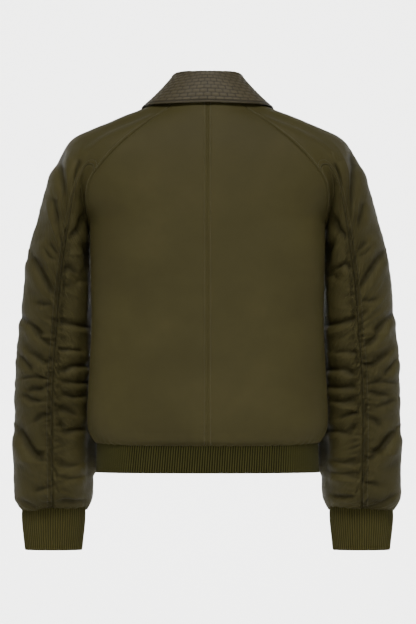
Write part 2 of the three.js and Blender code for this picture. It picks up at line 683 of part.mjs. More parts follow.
function addSolid(name, solid, finish, place) {
  const mesh = solid.getMesh();
  const points = [];
  for (let i = 0; i < mesh.numVert; i += 1) {
    const at = i * mesh.numProp;
    points.push(Array.from(mesh.vertProperties.slice(at, at + 3)));
  }
  const triangles = [];
  for (let i = 0; i < mesh.numTri; i += 1) triangles.push(Array.from(mesh.triVerts.slice(3 * i, 3 * i + 3)));
  const piece = surface(name, points, triangles, finish);
  piece.applyMatrix4(place);
  jacket.add(piece);
}

// The slider and its pull share a frame: y up the zip, z out of the cloth
function zipFrame() {
  const low = centreFront(ZIP.sliderZ - 4);
  const high = centreFront(ZIP.sliderZ + 4);
  const up = new THREE.Vector3(0, high - low, 8).normalize();
  const out = new THREE.Vector3(-1, 0, 0).cross(up).normalize();
  const frame = new THREE.Matrix4().makeBasis(new THREE.Vector3(-1, 0, 0), up, out);
  const lift = new THREE.Vector3(0, centreFront(ZIP.sliderZ), ZIP.sliderZ).addScaledVector(out, ZIP.clear);
  return frame.setPosition(lift);
}

function zipSlider() {
  const plate = toSolid(roundedBar(ZIP.sliderWide, ZIP.sliderLong, ZIP.sliderThick, 2));
  const arch = Manifold.cube([BAIL.wide, BAIL.long, BAIL.rise + 1], true)
    .translate([0, 0, ZIP.sliderThick + BAIL.rise / 2 - 0.5]);
  const gap = Manifold.cube([BAIL.wide + 1, BAIL.long - 2 * BAIL.thick, BAIL.rise - BAIL.thick], true)
    .translate([0, 0, ZIP.sliderThick + (BAIL.rise - BAIL.thick) / 2]);
  addSolid("zip_slider", plate.add(arch).subtract(gap), METAL, zipFrame());
}

function zipPull() {
  const whole = toSolid(roundedBar(PULL.wide, PULL.long, PULL.thick, 2)).translate([0, -PULL.long / 2, 0]);
  const hole = Manifold.cube([PULL.holeWide, PULL.holeLong, PULL.thick + 2], true)
    .translate([0, -PULL.bar - PULL.holeLong / 2, PULL.thick / 2]);
  const lift = ZIP.sliderThick + (BAIL.rise - BAIL.thick) / 2 - PULL.thick / 2;
  const tab = whole.subtract(hole).translate([0, PULL.bar / 2, lift]);
  addSolid("zip_pull", tab, METAL, zipFrame());
}

bodyPanels();
sleeves();
cuffs();
hemBand();
collar();
zipTapes();
zipSlider();
zipPull();

export default jacket;
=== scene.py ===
"""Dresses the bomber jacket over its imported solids: cloth panels with their folds and sewing, knit
bands, a leather collar and a zip. The shape functions work in millimetres in the solids' own frame,
the back towards -Y and the wearer's right towards +X; to_mesh turns them to metres."""

from typing import NamedTuple

import bpy
import numpy as np
from bpy.props import FloatProperty, FloatVectorProperty, IntProperty, PointerProperty
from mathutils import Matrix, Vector


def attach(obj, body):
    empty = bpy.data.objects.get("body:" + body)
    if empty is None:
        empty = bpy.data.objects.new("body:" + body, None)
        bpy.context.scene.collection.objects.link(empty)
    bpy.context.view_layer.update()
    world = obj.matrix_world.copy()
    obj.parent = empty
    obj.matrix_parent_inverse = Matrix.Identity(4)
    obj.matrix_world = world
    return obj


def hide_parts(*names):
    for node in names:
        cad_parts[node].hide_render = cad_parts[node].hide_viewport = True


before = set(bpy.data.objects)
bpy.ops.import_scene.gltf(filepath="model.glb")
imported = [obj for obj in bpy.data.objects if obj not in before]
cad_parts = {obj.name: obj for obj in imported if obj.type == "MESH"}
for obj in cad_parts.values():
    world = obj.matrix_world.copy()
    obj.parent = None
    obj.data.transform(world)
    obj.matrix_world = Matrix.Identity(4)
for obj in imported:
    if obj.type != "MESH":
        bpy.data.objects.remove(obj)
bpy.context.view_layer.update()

bl_info = {
    "name": "Bomber jacket",
    "version": (1, 0, 0),
    "blender": (4, 5, 0),
    "location": "View3D > Sidebar > Jacket",
    "description": "Cloth, knit, leather, zip and stage of a bomber jacket",
    "category": "Add Mesh",
}

MM = 0.001
JACKET = "jacket"
SEAM = 0.3
SEED = 11
SIDES = {"right": False, "left": True}


def table(columns, rows):
    """One array for each named column of the rows."""
    return dict(zip(columns.split(), np.array(rows, float).T))


def numbered(rows):
    """The table with a column "at" that counts its rows evenly from 0 to 1."""
    count = len(next(iter(rows.values())))
    return {**rows, "at": np.linspace(0, 1, count)}


def linear(red, green, blue):
    """A display colour, 0 to 255, as the linear colour that shaders use."""
    share = np.array([red, green, blue]) / 255
    return tuple(np.where(share <= 0.04045, share / 12.92, ((share + 0.055) / 1.055) ** 2.4).tolist())


def lerp(a, b, t):
    return a + (b - a) * t


def ease(low, high, value):
    t = np.clip((value - low) / (high - low), 0, 1)
    return t * t * (3 - 2 * t)


def bell(distance, width):
    return np.exp(-((distance / width) ** 2))


def fading(distance, start, reach):
    """1 up to the start, and from there less by a factor of e over each reach."""
    return np.exp(-np.maximum(distance - start, 0) / reach)


def point(x, y, z):
    return np.stack(np.broadcast_arrays(x, y, z), axis=-1)


def unit(vectors):
    return vectors / np.maximum(np.linalg.norm(vectors, axis=-1, keepdims=True), 1e-9)


def read(rows, key, at, column):
    """A column's value between the rows: a cubic through each pair of rows, whose slope at a row is
    that of the line through its two neighbours."""
    keys, values = rows[key], rows[column]
    way = np.sign(keys[1] - keys[0])
    last = len(keys) - 1
    k = np.clip(np.searchsorted(keys * way, np.asarray(at) * way, side="left") - 1, 0, last - 1)
    before, after = np.maximum(k - 1, 0), np.minimum(k + 2, last)
    span = keys[k + 1] - keys[k]
    t = np.clip((at - keys[k]) / span, 0, 1)
    leave = (values[k + 1] - values[before]) / (keys[k + 1] - keys[before]) * span
    arrive = (values[after] - values[k]) / (keys[after] - keys[k]) * span
    return (
        (2 * t**3 - 3 * t**2 + 1) * values[k]
        + (t**3 - 2 * t**2 + t) * leave
        + (3 * t**2 - 2 * t**3) * values[k + 1]
        + (t**3 - t**2) * arrive
    )


def read_all(rows, key, at):
    """The values of all the other columns between the rows, by name."""
    return {column: read(rows, key, at, column) for column in rows if column != key}


# Neck seam: a ring round the neck that drops towards the front
NECK = {"half": 66, "middle": -8, "back": 57, "front": 80, "drop": 72}
RAGLAN_TURN = {"back": 42, "side": 86, "front": 122}

# Body below the underarm, by height: half width, side seam, centre back and front, squareness
BODY = table(
    "z half side back front round",
    [
        (-554, 168, -32, -110, 114, 2.3),
        (-548, 178, -36, -118, 122, 2.3),
        (-538, 188, -40, -124, 129, 2.3),
        (-520, 192, -43, -127, 132, 2.3),
        (-480, 191, -45, -128, 134, 2.3),
        (-430, 188, -45, -127, 134, 2.3),
        (-360, 185, -47, -126, 133, 2.45),
        (-300, 186, -49, -127, 132, 2.6),
        (-246, 187, -50, -127, 131, 2.8),
        (-225, 187.5, -47, -127, 130, 2.75),
        (-206, 187.5, -42, -126, 129, 2.6),
    ],
)
CENTRE_BACK = table(
    "z y",
    [(0, -65), (-20, -80), (-35, -89), (-55, -99), (-78, -108), (-106, -115), (-138, -120), (-170, -124),
     (-206, -126)],
)
CENTRE_FRONT = table("z y", [(-72, 72), (-90, 86), (-110, 98), (-140, 112), (-170, 122), (-206, 129)])
UNDERARM_SHARE = 0.6
UNDERARM_Z = BODY["z"][-1]
UNDERARM_ROUND = BODY["round"][-1]
ROW_PACK = 1.6


def neck_point(degrees):
    """The neck seam by the angle round the neck from the centre back: an ellipse with its own reach
    to the back and the front, which falls with the cube of how far forward it has come."""
    turn = np.radians(degrees)
    reach = np.where(np.cos(turn) > 0, NECK["back"], NECK["front"])
    fall = (1 - np.cos(turn)) / 2
    x = NECK["half"] * np.sin(turn)
    return point(x, NECK["middle"] - reach * np.cos(turn), -NECK["drop"] * fall**3)


# Raglan seams, from the neck down to the underarm
RAGLAN_BACK = numbered(table("x y z", [
    neck_point(RAGLAN_TURN["back"]), (62, -66, -20), (84, -78, -35), (110, -89, -55), (137, -96, -78),
    (164, -97, -106), (187, -89, -138), (192, -75, -168), (190, -58, -192), (187.5, -42, -206)]))
RAGLAN_FRONT = numbered(table("x y z", [
    neck_point(RAGLAN_TURN["front"]), (72, 52, -53), (96, 72, -78), (120, 84, -104), (142, 89, -132),
    (161, 82, -160), (174, 53, -184), (183, 8, -200), (187.5, -42, -206)]))

# Sleeve rings from the raglan seam to the cuff: outer and inner point, reach back and front, and
# how far the ring's middle stands out from the line between the two points
SLEEVE = numbered(table(
    "out_x out_z in_x in_z back front bow_x bow_z",
    [
        (68, -11, 187, -206, -97, 88, 12, 20),
        (104, -25, 187.5, -209, -98, 89, 12, 29),
        (152, -42, 188, -214, -98, 90, 11.5, 34),
        (187, -54, 188, -221, -96, 90, 10, 33),
        (213, -67, 187.5, -231, -93, 89, 8, 28),
        (232, -89, 187, -244, -90, 88, 6.5, 21),
        (246, -119, 186.5, -260, -86, 87, 4.5, 14),
        (260, -153, 186, -280, -80, 87, 2.5, 8),
        (272, -195, 186, -305, -74, 88, 1, 4),
        (285, -240, 185, -334, -68, 89, 0, 0),
        (294, -295, 184.5, -366, -61, 91, 0, 0),
        (299, -350, 184.5, -402, -54, 93, 0, 0),
        (305, -400, 186, -440, -48, 95, 0, 0),
        (309, -460, 187, -486, -42, 98, 0, 0),
        (310, -520, 187, -535, -36, 101, 0, 0),
        (311, -580, 185, -588, -30, 103, 0, 0),
        (311, -620, 183, -622, -26, 104, 0, 0),
        (310, -643, 185, -643, -21, 102, 0, 0),
        (305, -655, 190, -655, -8, 95, 0, 0),
        (299, -663.5, 195, -663.5, 8, 86, 0, 0),
    ],
))
INNER_LEAN = 15
NECK_SHARE = 0.1
STEADY_ROW = 0.03
RAGLAN_FADE = 0.3
SLEEVE_SEAMS = table(
    "along back front",
    [(0, 0.35, 0.65), (0.12, 0.322, 0.676), (0.25, 0.285, 0.71), (0.4, 0.262, 0.733), (0.6, 0.255, 0.74),
     (1, 0.25, 0.745)],
)

# Folds of the sleeve as seen on its back: a soft trough through three points
FOLDS = table(
    "x0 z0 x1 z1 x2 z2 depth width",
    [
        (231, -90, 236, -112, 231, -173, 7.5, 6),
        (202, -109, 207, -128, 210, -149, 6, 5),
        (248, -172, 246, -188, 242, -205, 4, 4),
        (254, -234, 246, -243, 238, -248, 3, 2.8),
        (262, -240, 252, -252, 240, -258, 3, 2.8),
        (280, -252, 264, -276, 243, -308, 7, 4.6),
        (205, -198, 210, -212, 222, -224, 6.5, 4.6),
        (204, -234, 197, -250, 194, -272, 7, 5),
        (229, -276, 219, -268, 209, -276, 6, 4),
        (212, -292, 203, -286, 192, -290, 4.5, 4.6),
        (268, -325, 257, -328, 246, -326, 3.5, 3.2),
        (299, -346, 284, -362, 268, -377, 4.5, 4.2),
        (238, -357, 219, -361, 189, -368, 6.5, 4.2),
        (278, -370, 266, -388, 250, -401, 6, 4.6),
        (288, -412, 263, -431, 246, -428, 6, 4.6),
        (302, -420, 293, -434, 283, -446, 5, 4.2),
        (239, -410, 222, -408, 206, -410, 4.5, 3.4),
        (234, -446, 218, -437, 193, -438, 5.5, 4.2),
        (300, -459, 278, -457, 254, -460, 4, 3.6),
        (290, -478, 270, -477, 252, -469, 4.5, 3.8),
        (300, -486, 284, -493, 268, -496, 4.5, 4),
        (276, -527, 263, -516, 250, -514, 5, 4),
        (237, -464, 216, -466, 196, -466, 4.5, 3.4),
        (237, -484, 220, -489, 200, -488, 4, 3.6),
        (239, -505, 225, -510, 212, -516, 5, 4),
        (238, -524, 232, -531, 226, -537, 3.5, 2.8),
        (302, -536, 283, -561, 260, -578, 10.5, 5.6),
        (224, -539, 210, -536, 195, -537, 4.5, 3.8),
        (234, -584, 218, -587, 202, -584, 4.5, 3.8),
        (231, -603, 215, -604, 199, -602, 4, 3.6),
        (274, -624, 260, -620, 245, -616, 3.5, 3),
        (302, -638, 278, -652, 256, -658, 3.5, 3.6),
        (233, -640, 218, -642, 200, -640, 4, 3.4),
    ],
)
FRONT_FOLD_DROP = 26
DEEPEST_FOLD = -11
# Depth below the cloth around it at which the shade painted into a sleeve's crease is darkest
CREASE_SHADE_DEPTH = 2.2

# Largest moves of the cloth by its drape, its gathers and puckers, and the sleeve's soft ground
MOVES = {"drape": 1.1, "hem gathers": 0.75, "puckers": 0.35, "cuff gathers": 0.9, "ripples": 0.8}

# How far the cloth leaves its solid: beside the body, at the back of the inner sleeve, and down
# on the shoulder
BODY_SAG = 9
INNER_FULLNESS = 6
SHOULDER_DIP = 2.8

# Knit bands
CUFF = numbered(table("out_x in_x z back front", [
    (297, 197, -656, 10, 84), (298, 197, -680, 10, 84), (293, 202, -728, 14, 80)]))
HEM = numbered(table("half side back front z", [(176, -34, -113, 117, -551), (178, -34, -113, 117, -601)]))
HEM_ROUND = 2.3
RIB_FOOT = 0.2
# Painted shade between the ribs and painted highlight on them: shares of the knit colour in the grooves and
# on the rib tops
CUFF_RIB_SHADE_AND_HIGHLIGHT = (0.35, 1.25)
HEM_RIB_SHADE_AND_HIGHLIGHT = (0.02, 1.75)

# The hem band's ribs: their slant in ribs, the distances from the middle over which they show less
# and less, the share that still shows at the sides, and the height to which they sink there
HEM_SLANT = 0.9
HEM_FADE = (146, 112)
HEM_LEFT = 0.12
HEM_SUNK = 0.55

# Collar: the stand on the neck seam, the rolled fold and the fall that lies on the shoulders
FOLD_LINE = {"half": 55, "middle": -10, "back": 50, "front": 72, "height": 38, "ease": 0.5, "roll": 3.6}
COLLAR_END = 172
COLLAR_EDGE = table("turn x y z swell", [
    (0, 0, -83, -9, 5), (30, 52, -74, -10.5, 3), (60, 88, -50, -12, 0), (90, 103, -4, -17, -1.5),
    (115, 102, 48, -35, 0), (140, 82, 84, -78, 4), (COLLAR_END, 46, 106, -106, 5)])
STAND_SHARE = 0.34
ROLL_SHARE = 0.5
EDGE_STRIP = 3.4

# The collar's row along which the pads are counted, from its lower edge
PAD_MEASURE_ROW = -12

# Zip
ZIP_HALF = 6
ZIP_TOP = -74
TAPE_UNDER = 3.4
TAPE_STEP = 2.9
TAPE_THICK = 1.0
SLIDER_Z = -88
TOOTH = (3.0, 1.25, 1.5)
TOOTH_PLACE = (-1.8, 0, 0.05)
TOOTH_ROW_X = 0.9
FIRST_TOOTH = 3
SLIDER_ROOM = 9

# Sewing: how far rows of stitches lie from their seams, how far a thread stands out, and how far a
# panel hangs over its band
STITCH_RISE = 0.1
PANEL_STITCH = 5
RAGLAN_STITCH = 4.5
RUCHED_STITCHES = (2.4, 9)
HEM_STITCH = 3.2
ZIP_STITCH = 8
PANEL_OVERHANG = 5


class Cloth(NamedTuple):
    """A grid of points on a surface, its normals, and each point's distance from the grid's edges:
    from the first and last column, and from the first row."""

    t: np.ndarray
    v: np.ndarray
    points: np.ndarray
    normals: np.ndarray
    start: np.ndarray
    end: np.ndarray
    down: np.ndarray


def normal_at(place, t, v, step=0.004):
    across = place(np.minimum(t + step, 1), v) - place(np.maximum(t - step, 0), v)
    along = place(t, np.minimum(v + step, 1)) - place(t, np.maximum(v - step, 0))
    return unit(np.cross(across, along))


def lay(place, across, along, normal=None, turned=1):
    """The grid of a place function over two lists of shares, with distances added up along it."""
    t, v = np.meshgrid(across, along, indexing="ij")
    points = place(t, v)
    normals = normal(t, v) if normal else normal_at(place, t, v) * turned
    wide = np.linalg.norm(np.diff(points, axis=0), axis=-1)
    high = np.linalg.norm(np.diff(points, axis=1), axis=-1)
    start = np.pad(np.cumsum(wide, axis=0), ((1, 0), (0, 0)))
    down = np.pad(np.cumsum(high, axis=1), ((0, 0), (1, 0)))
    return Cloth(t, v, points, normals, start, start[-1] - start, down)


def steps(count, start=(), end=()):
    """Even shares from 0 to 1, with more of them near the two ends."""
    shares = np.concatenate([np.linspace(0, 1, count + 1), start, 1 - np.array(end)])
    return np.unique(np.round(shares, 5))


def even_steps(curve, count):
    """Shares of a curve that divide its length evenly."""
    fine = np.linspace(0, 1, 1200)
    lengths = np.pad(np.cumsum(np.linalg.norm(np.diff(curve(fine), axis=0), axis=-1)), (1, 0))
    return np.interp(np.linspace(0, lengths[-1], count + 1), lengths, fine)


def waves(points, seed, count, shortest, longest):
    """Soft uneven ground, about -1 to 1: a sum of plane waves with seeded directions and lengths."""
    draw = np.random.default_rng(seed)
    directions = unit(draw.normal(size=(count, 3)))
    pitch = draw.uniform(shortest, longest, count)
    phase = draw.uniform(0, 2 * np.pi, count)
    return np.sin(points @ (directions * (2 * np.pi / pitch)[:, None]).T + phase).mean(axis=-1) * 1.6


def valley(distance, centre, width):
    return -bell(distance - centre, width)


def valleys(*lines):
    """Seams and rows of stitches: for each a distance, its value on the line, a depth and a width."""
    return sum(depth * valley(distance, centre, width) for distance, centre, depth, width in lines)


def uneven(distance, pitch, shift, slow):
    """A wave that a slower one shifts to and fro. A full wave is 2 pi times its pitch."""
    return np.sin(distance / pitch + shift * np.sin(distance / slow))


def corner_faces(wide, high):
    """Quads of a closed shell over a grid of corners: the outer face, the inner face turned round,
    and the four rims between them. Corner numbers of the inner face follow those of the outer."""
    index = np.arange(wide * high).reshape(wide, high)
    under = wide * high
    outer = np.stack([index[:-1, :-1], index[1:, :-1], index[1:, 1:], index[:-1, 1:]], -1).reshape(-1, 4)
    rims = []
    for first, second in (
        (index[1:, 0], index[:-1, 0]),
        (index[:-1, -1], index[1:, -1]),
        (index[0, :-1], index[0, 1:]),
        (index[-1, 1:], index[-1, :-1]),
    ):
        rims.append(np.stack([first, second, second + under, first + under], -1))
    return outer, outer[:, ::-1] + under, rims


def to_mesh(name, points, faces, uv=None, marks=None, sharp=70):
    """A smooth mesh in metres, with its faces turned outwards, a UV map in metres and named marks."""
    corners = points[faces]
    doubled = np.cross(corners[:, 2] - corners[:, 0], corners[:, 3] - corners[:, 1])
    if np.einsum("ij,ij->", corners.mean(axis=1), doubled) < 0:
        faces = faces[:, ::-1]
        uv = None if uv is None else uv[:, ::-1]
    mesh = bpy.data.meshes.new(name)
    mesh.from_pydata((points * MM).tolist(), [], faces.tolist())
    if uv is not None:
        mesh.uv_layers.new(name="UVMap").data.foreach_set("uv", (uv * MM).astype(np.float32).ravel())
    for mark, values in (marks or {}).items():
        layer = mesh.attributes.new(mark, "FLOAT", "POINT")
        layer.data.foreach_set("value", values.astype(np.float32).ravel())
    mesh.shade_smooth()
    mesh.set_sharp_from_angle(angle=np.radians(sharp))
    piece = bpy.data.objects.new(name, mesh)
    bpy.context.scene.collection.objects.link(piece)
    return piece


def shell(name, cloth, fold, thick, ring=False, mirrored=False, marks=None, relief=0.0):
    """A closed shell: the cloth's points moved out by the fold, and by the relief on the outer face
    alone, with the inner face a thickness behind. A ring's last column is its first one."""
    outer = cloth.points + cloth.normals * np.asarray(fold + relief)[..., None]
    inner = cloth.points + cloth.normals * np.asarray(fold - thick)[..., None]
    wide, high = cloth.t.shape
    outer_faces, inner_faces, rims = corner_faces(wide, high)
    if ring:
        rims = rims[:2]
    corners = np.concatenate([outer_faces, inner_faces, *rims])
    flat = np.stack([cloth.start, cloth.down], -1).reshape(-1, 2)
    uv = np.concatenate([flat, flat])[corners]
    points = np.concatenate([outer.reshape(-1, 3), inner.reshape(-1, 3)])
    given = (marks or {}).items()
    marks = {mark: np.broadcast_to(values, (2, wide, high)).reshape(-1) for mark, values in given}
    if ring:
        number = np.arange(2 * wide * high).reshape(2, wide, high)
        number[:, -1] = number[:, 0]
        used, corners = np.unique(number.ravel()[corners], return_inverse=True)
        corners = corners.reshape(-1, 4)
        points = points[used]
        marks = {mark: values[used] for mark, values in marks.items()}
    if mirrored:
        points = points * (-1, 1, 1)
    return to_mesh(name, points, corners, uv, marks)


def dress(piece, material):
    piece.data.materials.clear()
    piece.data.materials.append(material)


def fit(piece, material, node=None):
    """Gives a piece its material, parents it to what it rides on, and hides the solid it stands for."""
    dress(piece, material)
    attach(piece, JACKET)
    if node:
        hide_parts(node)


stitch_lines = []


def crossing(points, normals, measure, wanted):
    """The line across a grid where a distance that grows down its columns has the wanted value,
    with the normals there: each column is cut between its last shorter and first longer point."""
    at = np.clip((measure < wanted).sum(axis=0), 1, len(measure) - 1)
    column = np.arange(measure.shape[1])
    low, high = measure[at - 1, column], measure[at, column]
    share = np.clip((wanted - low) / np.maximum(high - low, 1e-6), 0, 1)[:, None]
    line = lerp(points[at - 1, column], points[at, column], share)
    return line, unit(lerp(normals[at - 1, column], normals[at, column], share))


def sew(cloth, fold, edge, distance, mirrored, low=0.0, high=1.0):
    """Notes a row of stitches at a distance from one edge of the cloth, between two shares of it."""
    surface = cloth.points + cloth.normals * np.asarray(fold)[..., None]
    if edge == "start":
        line, normals = crossing(surface, cloth.normals, cloth.start, distance)
    elif edge == "end":
        flipped = (array[::-1] for array in (surface, cloth.normals, cloth.end))
        line, normals = crossing(*flipped, distance)
    else:
        turned = (array.swapaxes(0, 1) for array in (surface, cloth.normals, cloth.down))
        line, normals = crossing(*turned, distance)
    count = len(line)
    part = slice(int(low * count), int(high * count))
    side = np.array([-1, 1, 1]) if mirrored else np.ones(3)
    stitch_lines.append((line[part] * side, normals[part] * side))


def seam_point(rows, at):
    return point(*read_all(rows, "at", at).values())


def panel_place(is_back, first_x):
    """A body panel: across runs from the centre line to the side or raglan seam, up from the hem.
    Each level is part of a rounded oblong through the centre line and the edge. Above the underarm
    the edge follows the raglan seam, and the levels bend up into the neck seam."""
    seam = RAGLAN_BACK if is_back else RAGLAN_FRONT
    centre = CENTRE_BACK if is_back else CENTRE_FRONT
    column = "back" if is_back else "front"
    top_sweep = np.sin(np.radians(RAGLAN_TURN[column]))
    neck_z, corner_z = centre["z"][0], seam["z"][0]

    def place(across, up):
        is_low = up <= UNDERARM_SHARE
        low_z = lerp(BODY["z"][0], UNDERARM_Z, np.clip(up / UNDERARM_SHARE, 0, 1) ** ROW_PACK)
        height = np.clip((up - UNDERARM_SHARE) / (1 - UNDERARM_SHARE), 0, 1)
        high = seam_point(seam, 1 - height)
        high_z = high[..., 2] + (neck_z - corner_z) * height**1.5
        edge_x = np.where(is_low, read(BODY, "z", low_z, "half"), high[..., 0])
        edge_y = np.where(is_low, read(BODY, "z", low_z, "side"), high[..., 1])
        edge_z = np.where(is_low, low_z, high[..., 2])
        middle_y = np.where(is_low, read(BODY, "z", low_z, column), read(centre, "z", high_z, "y"))
        middle_z = np.where(is_low, low_z, high_z)
        power = np.where(is_low, read(BODY, "z", low_z, "round"), lerp(UNDERARM_ROUND, 2, height))
        sweep = lerp(1, top_sweep, height)
        first = np.arcsin(sweep * first_x / edge_x)
        last = np.arcsin(sweep)
        sine = np.sin(lerp(first, last, across))
        share = sine / sweep
        bend = (1 - (1 - sine**power) ** (1 / power)) / (1 - (1 - sweep**power) ** (1 / power))
        turn = np.sqrt(np.maximum(1 - (share * top_sweep) ** 2, 0))
        neck_fall = (1 - turn) / 2 if is_back else (1 + turn) / 2
        neck_fix = -NECK["drop"] * neck_fall**3 - lerp(neck_z, corner_z, share**2)
        z = lerp(middle_z, edge_z, share**2) + neck_fix * height**4
        return point(edge_x * share, lerp(middle_y, edge_y, bend), z)

    return place


def blurred(grid, reach, axis):
    """The grid averaged along one axis with a bell of the given reach, in steps."""
    count = 2 * reach
    kernel = bell(np.arange(-count, count + 1), reach)
    padded = np.pad(grid, [(count, count) if axis == k else (0, 0) for k in range(grid.ndim)], mode="edge")
    windows = np.lib.stride_tricks.sliding_window_view(padded, len(kernel), axis=axis)
    return windows @ (kernel / kernel.sum())


def crease_shade(fold):
    """How deep each point lies below the cloth around it, 0 to 1: the share of shade painted into the
    sleeve's creases.
    """
    around = blurred(blurred(fold, 5, 0), 6, 1)
    return np.clip((around - fold) / CREASE_SHADE_DEPTH, 0, 1)


def panel_cloth(is_back, across, along):
    """The grid of a panel. Its levels are averaged along the body near the underarm, less towards
    the seam, and its normals turn square to the mirror plane at the centre line, where the two
    back panels meet."""
    first_x = SEAM / 2 if is_back else ZIP_HALF + SEAM
    cloth = lay(panel_place(is_back, first_x), across, along, turned=1 if is_back else -1)
    level = np.exp(-(((cloth.points[..., 2] - UNDERARM_Z) / 46) ** 4)) * ease(1, 34, cloth.end)
    points = lerp(cloth.points, blurred(cloth.points, 6, 1), level[..., None])
    across_step = np.gradient(points, axis=0)
    along_step = np.gradient(points, axis=1)
    normals = unit(np.cross(across_step, along_step)) * (1 if is_back else -1)
    normals = unit(normals * point(ease(0, 14, cloth.start), 1, 1))
    if is_back:
        points[0, :, 0] = 0
    return cloth._replace(points=points, normals=normals)


def panel_fold(cloth, is_back, strength):
    """Drape, the gathers over the knit band, puckers beside the centre back seam, the roll over the
    band, and the valleys of seams and stitches."""
    z = cloth.points[..., 2]
    above = z - BODY["z"][0]
    calm = (1 - 0.5 * fading(cloth.start, 0, 10)) * ease(0, 30, above) * ease(0, 25, cloth.end)
    moved = MOVES["drape"] * waves(cloth.points * (1, 1, 0.45), SEED + is_back, 9, 70, 190) * calm
    round_body = cloth.points[..., 0] + 0.8 * cloth.points[..., 1]
    gather = uneven(round_body, 2.3, 2.2, 19) * (0.6 + 0.4 * np.sin(round_body / 11))
    moved += MOVES["hem gathers"] * gather * fading(above, 4, 13)
    if is_back:
        moved += MOVES["puckers"] * uneven(z, 1.7, 2.5, 23) * bell(cloth.start - 2, 7)
    sewn = valleys(
        (cloth.start, 0, 1.2, 1.5),
        (cloth.end, 0, 1.1, 1.6),
        (cloth.start, PANEL_STITCH if is_back else ZIP_STITCH, 0.5, 1.1),
        (above, HEM_STITCH, 0.35, 1.3),
    )
    return strength * moved + sewn + PANEL_OVERHANG * ease(18, 1, above)


def ring_point(around, at):
    """A sleeve ring: its outer and inner points joined by two half ovals over the back and front,
    with the middle bowed outwards."""
    turn = 2 * np.pi * around
    c, s = np.cos(turn), np.sin(turn)
    column = read_all(SLEEVE, "at", at)
    middle = (column["back"] + column["front"]) / 2
    reach = np.where(s > 0, column["back"], column["front"]) - middle
    bow = s * s * (1 - c)
    lean = INNER_LEAN * ease(0, 0.12, at) * (1 - c) / 2
    x = lerp(column["in_x"], column["out_x"], (1 + c) / 2) + column["bow_x"] * bow
    z = lerp(column["in_z"], column["out_z"], (1 + c) / 2) + column["bow_z"] * bow
    return point(x, middle + reach * np.abs(s) ** 0.92 + lean, z)


def raglan_loop(around):
    """The raglan seam's closed loop round the sleeve: neck seam, back seam, front seam, neck seam."""
    spread = 0.5 - NECK_SHARE
    neck_back = neck_point(lerp(RAGLAN_TURN["side"], RAGLAN_TURN["back"], around / NECK_SHARE))
    neck_front = neck_point(
        lerp(RAGLAN_TURN["front"], RAGLAN_TURN["side"], (around - 1 + NECK_SHARE) / NECK_SHARE)
    )
    back = seam_point(RAGLAN_BACK, np.clip((around - NECK_SHARE) / spread, 0, 1))
    front = seam_point(RAGLAN_FRONT, np.clip((1 - NECK_SHARE - around) / spread, 0, 1))
    share = around[..., None]
    return np.where(
        share < NECK_SHARE,
        neck_back,
        np.where(share <= 0.5, back, np.where(share <= 1 - NECK_SHARE, front, neck_front)),
    )


def sleeve_point(around, at):
    """The sleeve's surface: its rings, drawn at their start onto the raglan seam."""
    around = np.asarray(around) % 1
    ring = ring_point(around, at)
    fade = (1 - ease(0, RAGLAN_FADE, at))[..., None]
    return ring + (raglan_loop(around) - ring_point(around, np.zeros_like(at))) * fade


def sleeve_around(is_outer, t, v):
    seam = read_all(SLEEVE_SEAMS, "along", v)
    return lerp(seam["front"] - 1, seam["back"], t) if is_outer else lerp(seam["back"], seam["front"], t)


def sleeve_cloth(is_outer, across, along):
    """The grid of a sleeve piece, with the normals of the whole sleeve."""

    def normal(t, v):
        return normal_at(sleeve_point, sleeve_around(is_outer, t, v) % 1, np.maximum(v, STEADY_ROW))

    return lay(lambda t, v: sleeve_point(sleeve_around(is_outer, t, v), v), across, along, normal)


def fold_field(x, z):
    """The listed folds at a place on the sleeve's back: for each, a trough that falls steeply
    on one side of its line and gently on the other, tapers to its ends, and has a ridge beside it."""
    pieces = []
    for a, b in (("0", "1"), ("1", "2")):
        ax, az = FOLDS["x" + a], FOLDS["z" + a]
        dx, dz = FOLDS["x" + b] - ax, FOLDS["z" + b] - az
        t = np.clip(((x - ax) * dx + (z - az) * dz) / (dx * dx + dz * dz), 0, 1)
        off_x, off_z = x - ax - t * dx, z - az - t * dz
        side = np.sign(dx * off_z - dz * off_x)
        pieces.append((np.hypot(off_x, off_z), side, (t + (a == "1")) / 2))
    first, second = pieces
    near = first[0] <= second[0]
    distance, side, share = (np.where(near, one, two) for one, two in zip(first, second))
    taper = 1 - 0.65 * (2 * share - 1) ** 4
    width = FOLDS["width"] * np.where(side < 0, 1.5, 0.75)
    trough = -np.exp(-np.abs(distance / width) ** 1.5)
    ridge = 0.55 * bell(distance * side - 2.6 * FOLDS["width"], 1.9 * FOLDS["width"])
    return (FOLDS["depth"] * taper * (trough + ridge)).sum(axis=-1)


def sleeve_folds(cloth, left):
    """Large folds on the back, and the same ones turned over and lower on the front. The two mix
    where the sleeve turns from one to the other. The left sleeve's are shifted unevenly."""
    at = cloth.v
    ring = read_all(SLEEVE, "at", at)
    twice_middle_x = (ring["in_x"] + ring["out_x"])[..., None]
    x, y, z = (cloth.points[..., axis, None] for axis in range(3))
    x = x + left * 4 * np.sin(z / 41)
    z = z + left * 8 * np.sin(z / 53 + 1)
    back = fold_field(x, z)
    front = fold_field(twice_middle_x - x, z + FRONT_FOLD_DROP)
    total = lerp(front, back, ease(26, -26, y[..., 0] - (ring["back"] + ring["front"]) / 2))
    return np.maximum(total, DEEPEST_FOLD) * ease(0.04, 0.11, at) * ease(1, 0.965, at)


